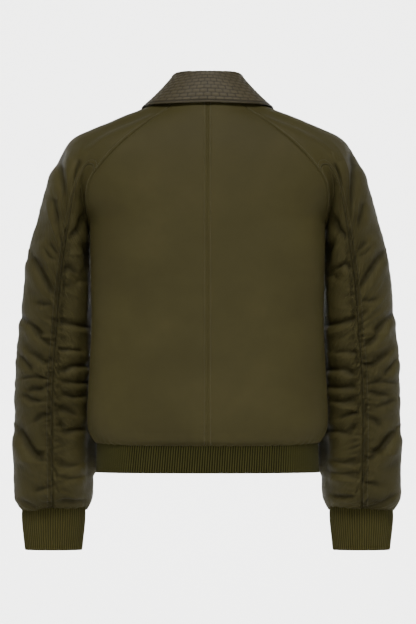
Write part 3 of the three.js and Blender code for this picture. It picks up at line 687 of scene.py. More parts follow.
def gathers(distance, down, length, is_outer, left):
    """Short uneven wrinkles that leave the ruched seam. Each is a rounded ridge on a bent slanting
    line, which fades away from the seam, and the highest at a place counts, so that neighbours meet
    in sharp valleys. Places, slants, lengths and heights are drawn from a seed."""
    draw = np.random.default_rng(SEED + 5 * is_outer + 2 * left)
    places = np.cumsum(draw.uniform(4.2, 10.5, 120)) + 0.16 * length
    places = places[places < 0.985 * length]
    count = len(places)
    share = places / length
    steep = ease(0.62, 0.34, share) * (0.95 if is_outer else 0.2)
    slant = steep + draw.uniform(-0.3, 0.3, count)
    bend = draw.uniform(-0.006, 0.006, count)
    reach = draw.uniform(10, 24, count) * np.where(draw.uniform(size=count) < 0.35, 2.1, 1)
    rise = draw.uniform(1.6, 4.2, count) * ease(0.14, 0.32, share)
    width = draw.uniform(2.6, 4.4, count)
    total = np.zeros_like(distance)
    for k in range(count):
        line = places[k] - slant[k] * distance + bend[k] * distance**2
        ridge = rise[k] * np.exp(-np.abs((down - line) / width[k]) ** 1.8)
        total = np.maximum(total, ridge * bell(distance, reach[k]))
    return total * (1 - bell(distance, 2.6))


def body_side(cloth):
    """Share, 0 to 1, by which a point of the sleeve lies against the body's side."""
    x, y, z = np.moveaxis(cloth.points, -1, 0)
    return ease(-196, -222, z) * ease(-612, -594, z) * ease(218, 192, x) * bell(y - 48, 19)


def inner_back(cloth):
    """Share, 0 to 1, by which a point lies where the back of the sleeve turns in towards the body."""
    x, y, z = np.moveaxis(cloth.points, -1, 0)
    across = ease(186, 200, x) * ease(236, 210, x)
    return across * ease(24, -8, y) * ease(-180, -235, z) * ease(-650, -610, z)


def sleeve_fold(cloth, is_outer, left, strength):
    """Folds, soft ground, gathers at the ruched seam and over the cuff, the dip of the shoulder, the
    sag against the body, and the valleys of seams and stitches."""
    ruched, other = (cloth.end, cloth.start) if is_outer else (cloth.start, cloth.end)
    down = cloth.down.mean(axis=0)
    y, z = cloth.points[..., 1], cloth.points[..., 2]
    seed = SEED + 7 * left
    moved = sleeve_folds(cloth, left) * (1 - 0.55 * bell(ruched, 8))
    moved += waves(cloth.points, seed + 3, 10, 34, 90) * ease(0.02, 0.1, cloth.v)
    ripples = waves(cloth.points * (0.5, 0.5, 1), seed + 4, 12, 14, 34) * ease(0.22, 0.4, cloth.v)
    cuff_gathers = uneven(cloth.start, 1.9, 2, 13) * fading(z - SLEEVE["out_z"][-1], 2, 9)
    moved += MOVES["ripples"] * ripples + MOVES["cuff gathers"] * cuff_gathers
    moved += gathers(ruched, np.broadcast_to(down, cloth.v.shape), float(down[-1]), is_outer, left)
    moved -= SHOULDER_DIP * ease(-78, -42, z) * bell(y + 5, 38)
    moved += INNER_FULLNESS * inner_back(cloth)
    sewn = valleys(
        (ruched, 0, 1.3, 1.5),
        (other, 0, 1.0, 1.5),
        (cloth.down, 0, 1.1, 1.6),
        (cloth.down, RAGLAN_STITCH, 0.5, 1.1),
        *((ruched, stitch, 0.45, 1.1) for stitch in (RUCHED_STITCHES if is_outer else ())),
    )
    return strength * lerp(moved, BODY_SAG, body_side(cloth)) + sewn


def cuff_place(t, v):
    """A cuff ring: an oval between its inner and outer edge and its front and back."""
    column = read_all(CUFF, "at", v)
    turn = 2 * np.pi * t
    x = lerp(column["in_x"], column["out_x"], (1 + np.cos(turn)) / 2)
    y = lerp(column["front"], column["back"], (1 + np.sin(turn)) / 2)
    return point(x, y, column["z"])


def hem_place(t, v):
    """The hem band's ring, from the zip round the back to the zip: a rounded oblong."""
    column = read_all(HEM, "at", v)
    end = np.pi - np.arcsin((ZIP_HALF + SEAM) / column["half"])
    turn = lerp(-end, end, t)
    across = np.sin(turn)
    depth = (1 - np.abs(across) ** HEM_ROUND) ** (1 / HEM_ROUND)
    reach = np.where(np.cos(turn) > 0, column["back"], column["front"])
    return point(column["half"] * across, lerp(column["side"], reach, depth), column["z"])


def fold_line(degrees):
    """The collar's highest line, an oval over the neck seam that eases down towards the front."""
    turn = np.radians(degrees)
    reach = np.where(np.cos(turn) > 0, FOLD_LINE["back"], FOLD_LINE["front"])
    fall = (1 - np.cos(turn)) / 2
    height = FOLD_LINE["height"] * (1 - FOLD_LINE["ease"] * fall**3)
    z = neck_point(degrees)[..., 2] + height - FOLD_LINE["roll"]
    return point(FOLD_LINE["half"] * np.sin(turn), FOLD_LINE["middle"] - reach * np.cos(turn), z)


def collar_place(t, v):
    """The collar's outer face: a straight stand from the neck seam, a half round roll over the fold
    line, then a fall that swells or dips a little on its way to the lower edge."""
    degrees = lerp(-COLLAR_END, COLLAR_END, t)
    turn = np.radians(degrees)
    out = point(np.sin(turn), -np.cos(turn), 0)
    up = np.array([0.0, 0.0, 1.0])
    crown = fold_line(degrees)
    roll = FOLD_LINE["roll"]
    foot = neck_point(degrees) + 2 * SEAM * up - out
    stand = lerp(foot, crown - roll * out, (np.clip(v, 0, STAND_SHARE) / STAND_SHARE)[..., None])
    arch = np.pi * np.clip((v - STAND_SHARE) / (ROLL_SHARE - STAND_SHARE), 0, 1)[..., None]
    rolled = crown - roll * np.cos(arch) * out + roll * np.sin(arch) * up
    down = np.clip((v - ROLL_SHARE) / (1 - ROLL_SHARE), 0, 1)[..., None]
    edge = read_all(COLLAR_EDGE, "turn", np.abs(degrees))
    hem = point(edge["x"] * np.where(degrees < 0, -1, 1), edge["y"], edge["z"])
    swell = edge["swell"][..., None] * np.sin(np.pi * down)
    fall = lerp(crown + roll * out, hem, down) + swell * (0.7 * out + 0.5 * up)
    share = v[..., None]
    return np.where(share <= STAND_SHARE, stand, np.where(share <= ROLL_SHARE, rolled, fall))


def tiles(around, down, wide, high):
    """Oblong pads in staggered rows, 0 in the grooves and 1 on the pads: the product of two flat
    topped humps, one along the row and one across it."""
    row = np.floor(down / high)
    a = np.abs((around / wide + 0.5 * (row % 2)) % 1 - 0.5) * 2
    b = np.abs((down / high) % 1 - 0.5) * 2
    return (1 - a**7) * (1 - b**4)


def centre_front(z):
    low = np.where(z < BODY["z"][0], HEM["front"][0], read(BODY, "z", z, "front"))
    return np.where(z < UNDERARM_Z, low, read(CENTRE_FRONT, "z", z, "y"))


def tape_place(t, v):
    """A zip tape from the middle outwards: it steps back where it passes under the panel."""
    z = lerp(HEM["z"][-1], ZIP_TOP, v)
    x = lerp(SEAM / 2, ZIP_HALF + TAPE_UNDER, t)
    return point(x, centre_front(z) - lerp(SEAM, TAPE_STEP, ease(ZIP_HALF - 1.6, ZIP_HALF - 0.2, x)), z)


def repeated(solid_points, solid_faces, centres, sides, ups, outs):
    """A small solid set at each centre: its own x, y and z are carried to the three directions."""
    axes = np.stack([sides, ups, outs], axis=1)
    points = np.einsum("pk,nkd->npd", solid_points, axes) + centres[:, None]
    offsets = np.arange(len(centres))[:, None, None] * len(solid_points)
    return points.reshape(-1, 3), (solid_faces[None] + offsets).reshape(-1, solid_faces.shape[-1])


def stitch_solid(length, radius):
    """A short thread: two square rings between two pinched ends."""
    ring = np.array([(1, 0), (0, 1), (-1, 0), (0, -1)]) * radius
    rows = []
    for along, scale in ((-0.5, 0.25), (-0.28, 1), (0.28, 1), (0.5, 0.25)):
        rows.append(np.column_stack([ring[:, 0] * scale, np.full(4, along * length), ring[:, 1] * scale]))
    points = np.concatenate(rows)
    faces = []
    for row in range(3):
        for k in range(4):
            a, b = row * 4 + k, row * 4 + (k + 1) % 4
            faces.append((a, b, b + 4, a + 4))
    faces += [(3, 2, 1, 0), (12, 13, 14, 15)]
    return points, np.array(faces)


def tooth_solid(wide, high, thick):
    """A zip tooth: a block whose head, towards the centre, is rounded down to a lower top."""
    profile = np.array([(0, -0.5), (0.75, -0.5), (1, -0.25), (1, 0.25), (0.75, 0.5), (0, 0.5)])
    low = np.column_stack([profile[:, 0] * wide, profile[:, 1] * high, np.zeros(6)])
    top = np.column_stack([profile[:, 0] * wide * 0.94, profile[:, 1] * high * 0.8, np.full(6, thick)])
    sides = [(k, (k + 1) % 6, (k + 1) % 6 + 6, k + 6) for k in range(6)]
    caps = [(3, 2, 1, 0), (5, 4, 3, 0), (6, 7, 8, 9), (6, 9, 10, 11)]
    return np.concatenate([low, top]), np.array(sides + caps)


# Pitches of the fine patterns in the materials, in metres
PITCH = {"shirring": 0.0048, "loop": 0.0014, "wale": 0.0042, "twist": 0.0005, "cord": 0.0009, "pick": 0.0006}


class Value:
    """A number in a node tree. Arithmetic on it adds Math nodes."""

    def __init__(self, finish, socket):
        self.finish = finish
        self.socket = socket

    def math(self, operation, *others):
        inputs = dict(enumerate([self, *others]))
        return self.finish.value("ShaderNodeMath", 0, {"operation": operation}, inputs)

    def __add__(self, other):
        return self.math("ADD", other)

    __radd__ = __add__

    def __mul__(self, other):
        return self.math("MULTIPLY", other)

    __rmul__ = __mul__

    def __sub__(self, other):
        return self.math("SUBTRACT", other)

    def __rsub__(self, other):
        return self * -1 + other

    def __truediv__(self, other):
        return self.math("DIVIDE", other)

    def sine(self):
        return self.math("SINE")

    def size(self):
        return self.math("ABSOLUTE")

    def part(self):
        return self.math("FRACT")


class Finish:
    """A material on one Principled shader, built by adding nodes."""

    def __init__(self, name, **constants):
        self.material = bpy.data.materials.new(name)
        self.material.use_nodes = True
        self.tree = self.material.node_tree
        self.tree.nodes.clear()
        self.shader = self.node("ShaderNodeBsdfPrincipled", {}, constants)
        self.node("ShaderNodeOutputMaterial", {}, {"Surface": self.shader.outputs[0]})

    def node(self, kind, settings, inputs):
        """A node with its settings, then the values or links of its sockets."""
        made = self.tree.nodes.new(kind)
        for name, value in settings.items():
            setattr(made, name, value)
        for name, value in inputs.items():
            self.join(made.inputs[name], value)
        return made

    def value(self, kind, output, settings=None, inputs=None):
        """One output of a new node, as a value."""
        return Value(self, self.node(kind, settings or {}, inputs or {}).outputs[output])

    def join(self, socket, value):
        if isinstance(value, Value):
            value = value.socket
        if isinstance(value, bpy.types.NodeSocket):
            self.tree.links.new(value, socket)
        else:
            socket.default_value = value

    def set(self, name, value):
        self.join(self.shader.inputs[name], value)

    def coordinates(self, kind):
        return self.node("ShaderNodeTexCoord", {}, {}).outputs[kind]

    def axes(self, kind):
        split = self.node("ShaderNodeSeparateXYZ", {}, {"Vector": self.coordinates(kind)})
        return [Value(self, split.outputs[axis]) for axis in "XYZ"]

    def noise(self, scale, detail=2.0, roughness=0.5, vector=None):
        inputs = {"Scale": scale, "Detail": detail, "Roughness": roughness}
        inputs["Vector"] = vector or self.coordinates("Object")
        return self.value("ShaderNodeTexNoise", "Fac", inputs=inputs)

    def wave(self, distance, pitch):
        return (distance * (2 * np.pi / pitch)).sine()

    def attribute(self, name):
        return self.value("ShaderNodeAttribute", "Fac", {"attribute_name": name})

    def ramp(self, value, low, high):
        inputs = {"Value": value, "From Min": low, "From Max": high}
        return self.value("ShaderNodeMapRange", "Result", {"clamp": True}, inputs)

    def blend(self, factor, first, second):
        """Two colours mixed by a factor."""
        settings = {"data_type": "RGBA", "blend_type": "MIX"}
        colours = {6: opaque(first), 7: opaque(second)}
        return self.node("ShaderNodeMix", settings, {0: factor, **colours}).outputs[2]

    def tones(self, value, low, high, colour, first, second):
        """A colour that goes from one share of itself to another as a value grows."""
        return self.blend(self.ramp(value, low, high), shaded(colour, first), shaded(colour, second))

    def bump(self, height, distance, strength=1.0, under=None):
        inputs = {"Height": height, "Distance": distance, "Strength": strength}
        if under is not None:
            inputs["Normal"] = under
        return self.node("ShaderNodeBump", {}, inputs).outputs["Normal"]


def opaque(colour):
    """A colour with the fourth number that a colour socket takes; a link stays as it is."""
    return colour if isinstance(colour, bpy.types.NodeSocket) else (*colour, 1.0)


def shaded(colour, share):
    return tuple(min(channel * share, 1.0) for channel in colour)


def nylon_finish(settings):
    """Satin nylon: a fine plain weave, crumples, slight changes of tone and gloss, painted shade in the
    sleeves' creases and where a sleeve lies against the body, and puckers and shirring along the ruched seam."""
    colour = tuple(settings.colour)
    finish = Finish("nylon", **{"Specular IOR Level": 0.1})
    u, v, _ = finish.axes("UV")
    weave = finish.wave(u, settings.weave) * finish.wave(v, settings.weave)
    cloud = finish.noise(38, 4, 0.6)
    base = finish.tones(finish.noise(9, 3), 0.35, 0.65, colour, 0.9, 1.1)
    base = finish.blend(finish.ramp(cloud, 0.3, 0.75) * 0.35, base, shaded(colour, 0.82))
    # Painted shade: the colour darkens in the sleeves' creases and where a sleeve lies against the body
    finish.set("Base Color", finish.blend(finish.attribute("painted_shade") * 0.55, base, shaded(colour, 0.2)))
    finish.set("Roughness", 0.5 + 0.12 * cloud + 0.03 * weave)
    crumple = finish.bump(finish.noise(70, 3, 0.55), 0.0006, 0.55)
    long_way = finish.node("ShaderNodeCombineXYZ", {}, {"X": u * 0.2, "Y": v}).outputs["Vector"]
    crease = finish.ramp((finish.noise(170, 2, 0.5, long_way) - 0.5).size(), 0.0, 0.13)
    ruched = finish.attribute("ruched")
    puckers = finish.bump(crease * ruched, 0.0014, 0.75, crumple)
    shirring = finish.wave(v, PITCH["shirring"]) * finish.ramp(ruched, 0.93, 0.96)
    shirred = finish.bump(shirring, 0.0007, 0.8, puckers)
    finish.set("Normal", finish.bump(weave, 0.00006, 0.5, shirred))
    return finish.material


def knit_finish(name, colour, low, high):
    """Rib knit: small chevrons of loops up each rib, painted shade between the ribs and a painted highlight
    on them, from a low share of the colour in the grooves to a high one on the tops, matt and a little hairy."""
    finish = Finish(name, **{"Sheen Weight": 0.02, "Sheen Roughness": 0.6, "Specular IOR Level": 0.06})
    u, v, _ = finish.axes("UV")
    wave = finish.noise(900, 2, 0.5)
    chevron = ((u / PITCH["wale"]).part() - 0.5).size() * 1.2
    loops = ((v / PITCH["loop"] + chevron) * np.pi).sine().size()
    # Painted shade and highlight: the colour follows the rib height, from the low share in the grooves to the
    # high one on the tops
    base = finish.tones(finish.attribute("height"), 0.15, 0.8, colour, low, high)
    finish.set("Base Color", finish.blend(finish.ramp(loops, 0.0, 0.5), shaded(colour, 0.6), base))
    finish.set("Roughness", 0.78 + 0.14 * wave)
    hair = finish.bump(wave, 0.0002, 0.5)
    finish.set("Normal", finish.bump(loops, 0.0003, 0.8, hair))
    return finish.material


def leather_finish(name, colour):
    """Soft leather: fine grain cells and creases, painted shade in the grooves between the pads, and pads
    polished on their tops.
    """
    finish = Finish(name, **{"Specular IOR Level": 0.3})
    height = finish.attribute("height")
    grain = {"Vector": finish.coordinates("Object"), "Scale": 650.0}
    cells = finish.value("ShaderNodeTexVoronoi", "Distance", {"feature": "DISTANCE_TO_EDGE"}, grain)
    tone = finish.noise(55, 4, 0.6)
    base = finish.tones(tone, 0.3, 0.7, colour, 0.86, 1.14)
    # Painted shade: the colour darkens where the pads' height falls, in the grooves between them and along
    # the edge
    finish.set("Base Color", finish.blend(finish.ramp(height, 0.2, 0.9), shaded(colour, 0.45), base))
    finish.set("Roughness", 0.62 - 0.12 * height + 0.1 * tone)
    soft = finish.bump(finish.noise(240, 3, 0.6), 0.0003, 0.4)
    finish.set("Normal", finish.bump(finish.ramp(cells, 0.0, 0.25), 0.00012, 0.7, soft))
    return finish.material


def thread_finish(colour):
    """Twisted sewing thread: slanting strands and a slight change of tone."""
    finish = Finish("thread", **{"Sheen Weight": 0.2, "Specular IOR Level": 0.4})
    x, y, z = finish.axes("Object")
    tone = finish.noise(120, 2)
    finish.set("Base Color", finish.tones(tone, 0.3, 0.7, colour, 0.85, 1.15))
    finish.set("Roughness", 0.5 + 0.1 * tone)
    finish.set("Normal", finish.bump(((x + y + z) / PITCH["twist"]).sine(), 0.00008, 0.6))
    return finish.material


def tape_finish(colour):
    """Woven zip tape: cords along it, crossed by fine picks."""
    finish = Finish("zip_tape", **{"Sheen Weight": 0.15, "Specular IOR Level": 0.3})
    u, v, _ = finish.axes("UV")
    cords = finish.wave(u, PITCH["cord"]) * 0.7 + finish.wave(v, PITCH["pick"]) * 0.3
    finish.set("Base Color", finish.tones(cords, -0.8, 0.8, colour, 0.75, 1.15))
    finish.set("Roughness", 0.8 + 0.05 * cords)
    finish.set("Normal", finish.bump(cords, 0.00015, 0.7))
    return finish.material


def metal_finish(colour):
    """Aged brass: tarnish in soft patches and fine scratches in the gloss."""
    finish = Finish("aged_metal", **{"Metallic": 1.0})
    patches = finish.noise(420, 4, 0.6)
    scratches = finish.noise(2600, 2, 0.7)
    finish.set("Base Color", finish.tones(patches, 0.4, 0.7, colour, 1, 0.55))
    finish.set("Roughness", 0.26 + 0.2 * patches + 0.08 * scratches)
    finish.set("Normal", finish.bump(scratches, 0.00003, 0.5))
    return finish.material


def paper_finish(colour):
    """Plain studio paper, with a faint mottle. Seen from behind it lets the view through."""
    finish = Finish("studio_paper", **{"Specular IOR Level": 0.1})
    mottle = finish.noise(3, 2)
    finish.set("Base Color", finish.blend(mottle * 0.2, colour, shaded(colour, 0.97)))
    finish.set("Roughness", 0.9 + 0.05 * mottle)
    finish.set("Alpha", 1 - finish.value("ShaderNodeNewGeometry", "Backfacing"))
    return finish.material


def field(kind, name, description, default, **options):
    return kind(name=name, description=description, default=default, **options)


def length_field(name, description, default):
    return field(FloatProperty, name, description, default, subtype="DISTANCE", unit="LENGTH")


def power_field(name, description, default):
    return field(FloatProperty, name, description, default, unit="POWER")


def strength_field(name, description, default):
    return field(FloatProperty, name, description, default, min=0)


def count_field(name, description, default):
    return field(IntProperty, name, description, default, min=10)


def colour_field(name, description, *display):
    """A colour, its default given as three display values, 0 to 255."""
    options = {"subtype": "COLOR", "min": 0, "max": 1}
    return field(FloatVectorProperty, name, description, linear(*display), **options)


class ShellSettings(bpy.types.PropertyGroup):
    """Sizes and colour of the nylon panels and sleeves."""

    colour: colour_field("Colour", "Nylon colour", 64, 59, 33)
    thickness: length_field("Thickness", "Cloth thickness", 0.0012)
    weave: length_field("Weave", "Pitch of the plain weave", 0.0006)
    folds: strength_field("Folds", "Share of the full fold height", 1)


class KnitSettings(bpy.types.PropertyGroup):
    """Sizes and colours of the rib-knit cuffs and hem band."""

    hem_colour: colour_field("Hem colour", "Hem band colour", 49, 47, 19)
    cuff_colour: colour_field("Cuff colour", "Cuff colour", 66, 62, 30)
    hem_ribs: count_field("Hem ribs", "Ribs round the hem band", 240)
    cuff_ribs: count_field("Cuff ribs", "Ribs round a cuff", 70)
    rib_height: length_field("Rib height", "Height of a rib", 0.001)
    thickness: length_field("Thickness", "Knit thickness", 0.0024)


class CollarSettings(bpy.types.PropertyGroup):
    """Sizes and colours of the leather collar."""

    colour: colour_field("Colour", "Leather colour", 69, 62, 43)
    pad_length: length_field("Pad length", "Length of a pad", 0.0125)
    pad_height: length_field("Pad height", "Width of a row of pads", 0.0064)
    relief: length_field("Relief", "Height of the pads", 0.0009)
    thickness: length_field("Thickness", "Leather thickness", 0.0022)


class SewingSettings(bpy.types.PropertyGroup):
    """Sizes and colour of the stitches."""

    colour: colour_field("Colour", "Thread colour", 70, 64, 38)
    pitch: length_field("Pitch", "From stitch to stitch", 0.0034)
    length: length_field("Length", "Length of a stitch", 0.0027)
    radius: length_field("Radius", "Radius of the thread", 0.0003)


class ZipSettings(bpy.types.PropertyGroup):
    """Sizes and colours of the zip."""

    tape_colour: colour_field("Tape colour", "Tape colour", 48, 44, 24)
    metal_colour: colour_field("Metal colour", "Teeth, slider and pull", 150, 138, 108)
    tooth_pitch: length_field("Tooth pitch", "From tooth to tooth on one side", 0.0026)


class StageSettings(bpy.types.PropertyGroup):
    """Camera, light and floor."""

    distance: length_field("Camera distance", "From the camera to the jacket", 9)
    frame_height: length_field("Frame height", "Height that the camera sees at the jacket", 0.9984)
    middle: field(
        FloatVectorProperty, "Frame middle", "Point in the middle of the frame", (0.0008, 0, -0.3456),
        subtype="XYZ", unit="LENGTH"
    )
    floor: length_field("Floor", "Height of the floor", -1.3)
    key_power: strength_field("Key power", "Strength of the key light", 2.45)
    side_power: strength_field("Side power", "Strength of each side light", 0.42)
    fill_power: power_field("Fill power", "Power of the low fill light", 28)
    backdrop_power: power_field("Backdrop power", "Power of each light on the backdrop", 2000)
    world: strength_field("World light", "Strength of the even light", 0.12)


SETTINGS = {
    "jacket_shell": ShellSettings,
    "jacket_knit": KnitSettings,
    "jacket_collar": CollarSettings,
    "jacket_sewing": SewingSettings,
    "jacket_zip": ZipSettings,
    "jacket_stage": StageSettings,
}


# Distances from a seam, in millimetres, at which a grid has more columns or rows, and the widths and
# lengths that turn them to shares
SEAM_STEPS = np.array([0.5, 1.2, 2, 2.8, 3.6, 4.4, 5.2, 6, 7, 8, 9, 10])
PANEL_WIDE, PANEL_HEM, PANEL_NECK = 215, 900, 600
SLEEVE_WIDE, SLEEVE_LONG = 230, 800


# Columns and rows of the grids. Those of the knit bands are columns to a rib
GRID = {"panel": (56, 150), "sleeve": (66, 320), "cuff": (8, 14), "hem": (6, 8), "tape": (18, 119)}
COLLAR_COLUMNS = 400
COLLAR_ROWS = {"stand": 8, "roll": 12, "fall": 42, "strip": 8}

# The stage, in metres: the backdrop's profile, and where the lamps stand, the side ones and the
# backdrop's also mirrored
BACKDROP = {"near": -22.0, "bend": 4.5, "wall": 5.5, "height": 7.0, "half": 16.0}
KEY_PLACE = (0, -2.4, 2.65)
FILL_PLACE = (0, -4.0, -0.9)
SIDE_PLACE = (2.0, -2.4, 2.4)
SPOT_PLACE = (2.2, 1.2, 1.6)
SPOT_AIM = (0, 5.5, -0.35)
PAPER = (0.93, 0.93, 0.92)
LIGHT = (1.0, 0.995, 0.985, 1.0)


class JACKET_OT_body(bpy.types.Operator):
    """Makes the two back and two front panels, with their drape, gathers and seam lines"""

    bl_idname = "jacket.body"
    bl_label = "Body panels"

    def execute(self, context):
        settings = context.scene.jacket_shell
        nylon = nylon_finish(settings)
        columns, rows = GRID["panel"]
        across = steps(columns, SEAM_STEPS / PANEL_WIDE, SEAM_STEPS[:6] / PANEL_WIDE)
        along = steps(rows, SEAM_STEPS[:6] / PANEL_HEM, SEAM_STEPS[:4] / PANEL_NECK)
        for part, is_back in (("back", True), ("front", False)):
            cloth = panel_cloth(is_back, across, along)
            fold = panel_fold(cloth, is_back, settings.folds)
            for side, mirrored in SIDES.items():
                piece = shell(f"cloth_{part}_{side}", cloth, fold, settings.thickness / MM, mirrored=mirrored)
                fit(piece, nylon, f"{part}_{side}")
                sew(cloth, fold, "start", PANEL_STITCH if is_back else ZIP_STITCH, mirrored, high=0.985)
                sew(cloth, fold, "down", HEM_STITCH, mirrored)
        return {"FINISHED"}


class JACKET_OT_sleeves(bpy.types.Operator):
    """Makes the outer and under pieces of both raglan sleeves, gathered at their back seam"""

    bl_idname = "jacket.sleeves"
    bl_label = "Sleeves"

    def execute(self, context):
        settings = context.scene.jacket_shell
        nylon = bpy.data.materials["nylon"]
        columns, rows = GRID["sleeve"]
        along = even_steps(lambda v: sleeve_point(np.full_like(v, 0.2), v), rows)
        along = np.unique(np.concatenate([along, SEAM_STEPS[:9] / SLEEVE_LONG]))
        for part, is_outer in (("outer", True), ("under", False)):
            near, far = (SEAM_STEPS[:5], SEAM_STEPS) if is_outer else (SEAM_STEPS[:7], SEAM_STEPS[:5])
            across = steps(columns, near / SLEEVE_WIDE, far / SLEEVE_WIDE)
            cloth = sleeve_cloth(is_outer, across, along)
            from_seam = cloth.end if is_outer else cloth.start
            ruched = ease(0.16, 0.4, cloth.v) * (0.25 + 0.75 * bell(from_seam, 34))
            for side, mirrored in SIDES.items():
                fold = sleeve_fold(cloth, is_outer, mirrored, settings.folds)
                # Painted shade: darker in the folds' creases and where the sleeve lies against the body's
                # side
                marks = {"ruched": ruched, "painted_shade": np.maximum(crease_shade(fold), body_side(cloth))}
                name = f"sleeve_{part}_{side}"
                thick = settings.thickness / MM
                piece = shell(f"cloth_{name}", cloth, fold, thick, mirrored=mirrored, marks=marks)
                fit(piece, nylon, name)
                sew(cloth, fold, "down", RAGLAN_STITCH, mirrored)
                for distance in RUCHED_STITCHES if is_outer else ():
                    sew(cloth, fold, "end", distance, mirrored, 0.01, 0.99)
        return {"FINISHED"}


class JACKET_OT_knit(bpy.types.Operator):
    """Makes the rib-knit cuffs and hem band"""

    bl_idname = "jacket.knit"
    bl_label = "Cuffs and hem band"

    def execute(self, context):
        settings = context.scene.jacket_knit
        rib = settings.rib_height / MM
        thick = settings.thickness / MM
        knit = knit_finish("cuff_knit", tuple(settings.cuff_colour), *CUFF_RIB_SHADE_AND_HIGHLIGHT)
        columns, rows = GRID["cuff"]
        across = even_steps(lambda t: cuff_place(t, np.zeros_like(t)), columns * settings.cuff_ribs)
        cloth = lay(cuff_place, across, steps(rows, (0.015, 0.03), (0.015, 0.03)))
        ribs = self.ribs(settings.cuff_ribs, cloth)
        for side, mirrored in SIDES.items():
            piece = shell(f"knit_cuff_{side}", cloth, 0.0, thick, ring=True, mirrored=mirrored,
                marks={"height": ribs}, relief=rib * ribs - RIB_FOOT)
            fit(piece, knit, f"cuff_{side}")
        knit = knit_finish("hem_knit", tuple(settings.hem_colour), *HEM_RIB_SHADE_AND_HIGHLIGHT)
        columns, rows = GRID["hem"]
        across = even_steps(lambda t: hem_place(t, np.zeros_like(t)), columns * settings.hem_ribs)
        cloth = lay(hem_place, across, steps(rows, (0.02, 0.05), (0.02, 0.05)), turned=-1)
        middle = ease(*HEM_FADE, np.abs(cloth.points[..., 0]))
        ribs = self.ribs(settings.hem_ribs, cloth, HEM_SLANT)
        # The ribs sink towards the sides, and the shade and highlight painted with them fade there, so both
        # are strongest in the middle of the back
        ribs = lerp(HEM_SUNK, ribs, lerp(HEM_LEFT, 1, middle))
        relief = rib * ribs - RIB_FOOT
        piece = shell("knit_hem_band", cloth, 0.0, thick, marks={"height": ribs}, relief=relief)
        fit(piece, knit, "hem_band")
        return {"FINISHED"}

    def ribs(self, count, cloth, slant=0.0):
        """Height of the ribs, 0 to 1: a rounded wave, lower at the sewn edge and the folded one. A
        rib shifts by the slant, in ribs, from the top of the band to its foot."""
        number = np.linspace(0, count, len(cloth.v))[:, None]
        wave = (0.5 + 0.5 * np.cos(2 * np.pi * (number + slant * cloth.v))) ** 0.8
        ends = ease(0, 0.05, cloth.v) * ease(1, 0.97, cloth.v)
        return wave * lerp(0.45, 1, ends)


class JACKET_OT_collar(bpy.types.Operator):
    """Makes the turned-down leather collar, with pads in low relief, and its bound edge"""

    bl_idname = "jacket.collar"
    bl_label = "Collar"

    def execute(self, context):
        settings = context.scene.jacket_collar
        thick = settings.thickness / MM
        across = even_steps(lambda t: collar_place(t, np.ones_like(t)), COLLAR_COLUMNS)
        stand = np.linspace(0, STAND_SHARE, COLLAR_ROWS["stand"] + 1)
        roll = np.linspace(STAND_SHARE, ROLL_SHARE, COLLAR_ROWS["roll"] + 1)
        fall = np.linspace(ROLL_SHARE, 1, COLLAR_ROWS["fall"] + 1)
        cloth = lay(collar_place, across, np.concatenate([stand[:-1], roll[:-1], fall]), turned=-1)
        around = cloth.start[:, PAD_MEASURE_ROW]
        from_edge = cloth.down[:, -1:] - cloth.down
        pad_size = settings.pad_length / MM, settings.pad_height / MM
        pads = tiles((around - around[-1] / 2)[:, None], from_edge, *pad_size)
        border = ease(1.2, 2.6, from_edge) * ease(2, 4, cloth.start) * ease(2, 4, cloth.end)
        # The pads' height sets their relief and the shade painted into the grooves between them
        height = lerp(1.0, pads * border, ease(STAND_SHARE, STAND_SHARE + 0.05, cloth.v))
        relief = settings.relief / MM * (height - 0.6)
        piece = shell("leather_collar", cloth, 0.0, thick, marks={"height": height}, relief=relief)
        fit(piece, leather_finish("collar_leather", tuple(settings.colour)), "collar")
        strip = self.strip(across, thick, settings)
        return {"FINISHED"}

    def strip(self, across, thick, settings):
        """The binding: it carries on down from the collar's edge and is rounded over its width."""

        def place(t, v):
            edge = collar_place(t, np.ones_like(t))
            down = unit(edge - collar_place(t, np.full_like(t, 0.97)))
            return edge + down * lerp(SEAM, EDGE_STRIP, v)[..., None]

        cloth = lay(place, across, np.linspace(0, 1, COLLAR_ROWS["strip"] + 1), turned=-1)
        rounded = 0.9 * np.sin(np.pi * cloth.v) ** 0.6 - 0.5
        strip = shell("collar_binding", cloth, 0.0, thick - 0.4, marks={"height": 0.9}, relief=rounded)
        leather = leather_finish("binding_leather", shaded(tuple(settings.colour), 0.8))
        fit(strip, leather, "collar_edge")
        return strip


class JACKET_OT_zip(bpy.types.Operator):
    """Makes the zip's tapes and teeth, and finishes its slider and pull"""

    bl_idname = "jacket.zip"
    bl_label = "Zip"

    def execute(self, context):
        settings = context.scene.jacket_zip
        tape = tape_finish(tuple(settings.tape_colour))
        metal = metal_finish(tuple(settings.metal_colour))
        across, along = (np.linspace(0, 1, count + 1) for count in GRID["tape"])
        cloth = lay(tape_place, across, along, turned=-1)
        for side, mirrored in SIDES.items():
            piece = shell(f"tape_{side}", cloth, 0.0, TAPE_THICK, mirrored=mirrored)
            fit(piece, tape, f"zip_tape_{side}")
            points, faces = self.teeth(settings.tooth_pitch / MM, mirrored)
            fit(to_mesh(f"zip_teeth_{side}", points, faces, sharp=40), metal)
        for node in ("zip_slider", "zip_pull"):
            dress(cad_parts[node], metal)
        return {"FINISHED"}

    def teeth(self, pitch, mirrored):
        """Teeth up one tape, to below the slider; the mirrored row is half a pitch higher."""
        z = np.arange(HEM["z"][-1] + FIRST_TOOTH + 0.5 * pitch * mirrored, SLIDER_Z - SLIDER_ROOM, pitch)
        centres = point(TOOTH_ROW_X, centre_front(z) - SEAM, z)
        ups = unit(point(0, centre_front(z + 1) - centre_front(z - 1), 2.0))
        outs = np.cross(ups, (1.0, 0.0, 0.0))
        sides = np.broadcast_to((-1.0, 0.0, 0.0), outs.shape)
        points, faces = tooth_solid(*TOOTH)
        points, faces = repeated(points + TOOTH_PLACE, faces, centres, sides, ups, outs)
        return points * (-1 if mirrored else 1, 1, 1), faces


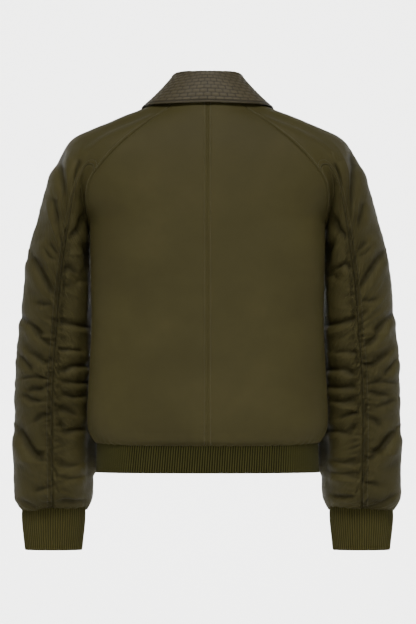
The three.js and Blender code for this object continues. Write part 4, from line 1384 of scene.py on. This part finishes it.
class JACKET_OT_sewing(bpy.types.Operator):
    """Makes the stitches along every row that the panels and sleeves noted"""

    bl_idname = "jacket.sewing"
    bl_label = "Stitches"

    def execute(self, context):
        settings = context.scene.jacket_sewing
        pitch = settings.pitch / MM
        centres, alongs, outs = [], [], []
        for line, normals in stitch_lines:
            lengths = np.pad(np.cumsum(np.linalg.norm(np.diff(line, axis=0), axis=1)), (1, 0))
            stops = np.arange(pitch, lengths[-1] - pitch, pitch)
            here, ahead, out = (
                np.stack([np.interp(stops + shift, lengths, array[:, axis]) for axis in range(3)], axis=1)
                for array, shift in ((line, 0.0), (line, 1.0), (normals, 0.0))
            )
            centres.append(here + unit(out) * STITCH_RISE)
            alongs.append(unit(ahead - here))
            outs.append(unit(out))
        centres, alongs, outs = (np.concatenate(rows) for rows in (centres, alongs, outs))
        points, faces = stitch_solid(settings.length / MM, settings.radius / MM)
        points, faces = repeated(points, faces, centres, unit(np.cross(alongs, outs)), alongs, outs)
        thread = thread_finish(tuple(settings.colour))
        fit(to_mesh("stitches", points, faces, sharp=60), thread)
        return {"FINISHED"}


class JACKET_OT_stage(bpy.types.Operator):
    """Makes the pale floor and backdrop, the studio lights and the camera"""

    bl_idname = "jacket.stage"
    bl_label = "Stage"

    def execute(self, context):
        settings = context.scene.jacket_stage
        self.backdrop(settings.floor)
        self.world(context.scene, settings.world)
        middle = Vector(settings.middle)
        for side in (-1, 1):
            across = Vector((side, 1, 1))
            self.lamp("side", "SUN", across * Vector(SIDE_PLACE), middle, settings.side_power).angle = 0.4
            spot = self.lamp("backdrop", "SPOT", across * Vector(SPOT_PLACE), Vector(SPOT_AIM),
                settings.backdrop_power)
            spot.spot_size, spot.spot_blend, spot.shadow_soft_size = 1.0, 1.0, 0.2
        self.lamp("key", "SUN", Vector(KEY_PLACE), middle, settings.key_power).angle = 0.3
        self.lamp("fill", "AREA", Vector(FILL_PLACE), middle, settings.fill_power).size = 2.4
        camera = bpy.data.objects.new("camera", bpy.data.cameras.new("camera"))
        camera.data.lens = camera.data.sensor_width * settings.distance / settings.frame_height
        camera.location = middle - Vector((0, settings.distance, 0))
        camera.rotation_euler = (np.pi / 2, 0, 0)
        context.scene.collection.objects.link(camera)
        context.scene.camera = camera
        return {"FINISHED"}

    def backdrop(self, floor):
        """Floor, quarter round and wall in one sheet: its profile is carried along X."""
        bend = np.linspace(0, np.pi / 2, 25)
        y = np.concatenate([[BACKDROP["near"]], BACKDROP["bend"] + np.sin(bend), [BACKDROP["wall"]]])
        z = floor + np.concatenate([[0.0], 1 - np.cos(bend), [BACKDROP["height"]]])
        x = np.linspace(-BACKDROP["half"], BACKDROP["half"], 19)
        points = point(x[:, None], y[None], z[None]).reshape(-1, 3)
        mesh = bpy.data.meshes.new("backdrop")
        mesh.from_pydata(points.tolist(), [], corner_faces(len(x), len(y))[0].tolist())
        mesh.shade_smooth()
        mesh.materials.append(paper_finish(PAPER))
        sheet = bpy.data.objects.new("backdrop", mesh)
        bpy.context.scene.collection.objects.link(sheet)

    def world(self, scene, strength):
        scene.world = scene.world or bpy.data.worlds.new("studio")
        scene.world.use_nodes = True
        background = scene.world.node_tree.nodes["Background"]
        background.inputs["Color"].default_value = LIGHT
        background.inputs["Strength"].default_value = strength

    def lamp(self, name, kind, place, aim, power):
        lamp = bpy.data.objects.new(name, bpy.data.lights.new(name, kind))
        lamp.data.energy = power
        lamp.location = place
        lamp.rotation_euler = (aim - place).to_track_quat("-Z", "Y").to_euler()
        bpy.context.scene.collection.objects.link(lamp)
        return lamp.data


class JACKET_PT_panel(bpy.types.Panel):
    """Lists the jacket's pieces and their sizes"""

    bl_idname = "JACKET_PT_panel"
    bl_label = "Jacket"
    bl_space_type = "VIEW_3D"
    bl_region_type = "UI"
    bl_category = "Jacket"

    def draw(self, context):
        for operator in OPERATORS:
            self.layout.operator(operator.bl_idname)
        for name, group in SETTINGS.items():
            box = self.layout.box()
            box.label(text=name.replace("_", " "))
            for field in group.__annotations__:
                box.prop(getattr(context.scene, name), field)


OPERATORS = (
    JACKET_OT_body,
    JACKET_OT_sleeves,
    JACKET_OT_knit,
    JACKET_OT_collar,
    JACKET_OT_zip,
    JACKET_OT_sewing,
    JACKET_OT_stage,
)


def register():
    for group in (*SETTINGS.values(), *OPERATORS, JACKET_PT_panel):
        bpy.utils.register_class(group)
    for name, group in SETTINGS.items():
        setattr(bpy.types.Scene, name, PointerProperty(type=group))


def unregister():
    for name in SETTINGS:
        delattr(bpy.types.Scene, name)
    for group in reversed((*SETTINGS.values(), *OPERATORS, JACKET_PT_panel)):
        bpy.utils.unregister_class(group)


def main():
    register()
    bpy.ops.jacket.body()
    bpy.ops.jacket.sleeves()
    bpy.ops.jacket.knit()
    bpy.ops.jacket.collar()
    bpy.ops.jacket.zip()
    bpy.ops.jacket.sewing()
    bpy.ops.jacket.stage()


if __name__ == "__main__":
    main()
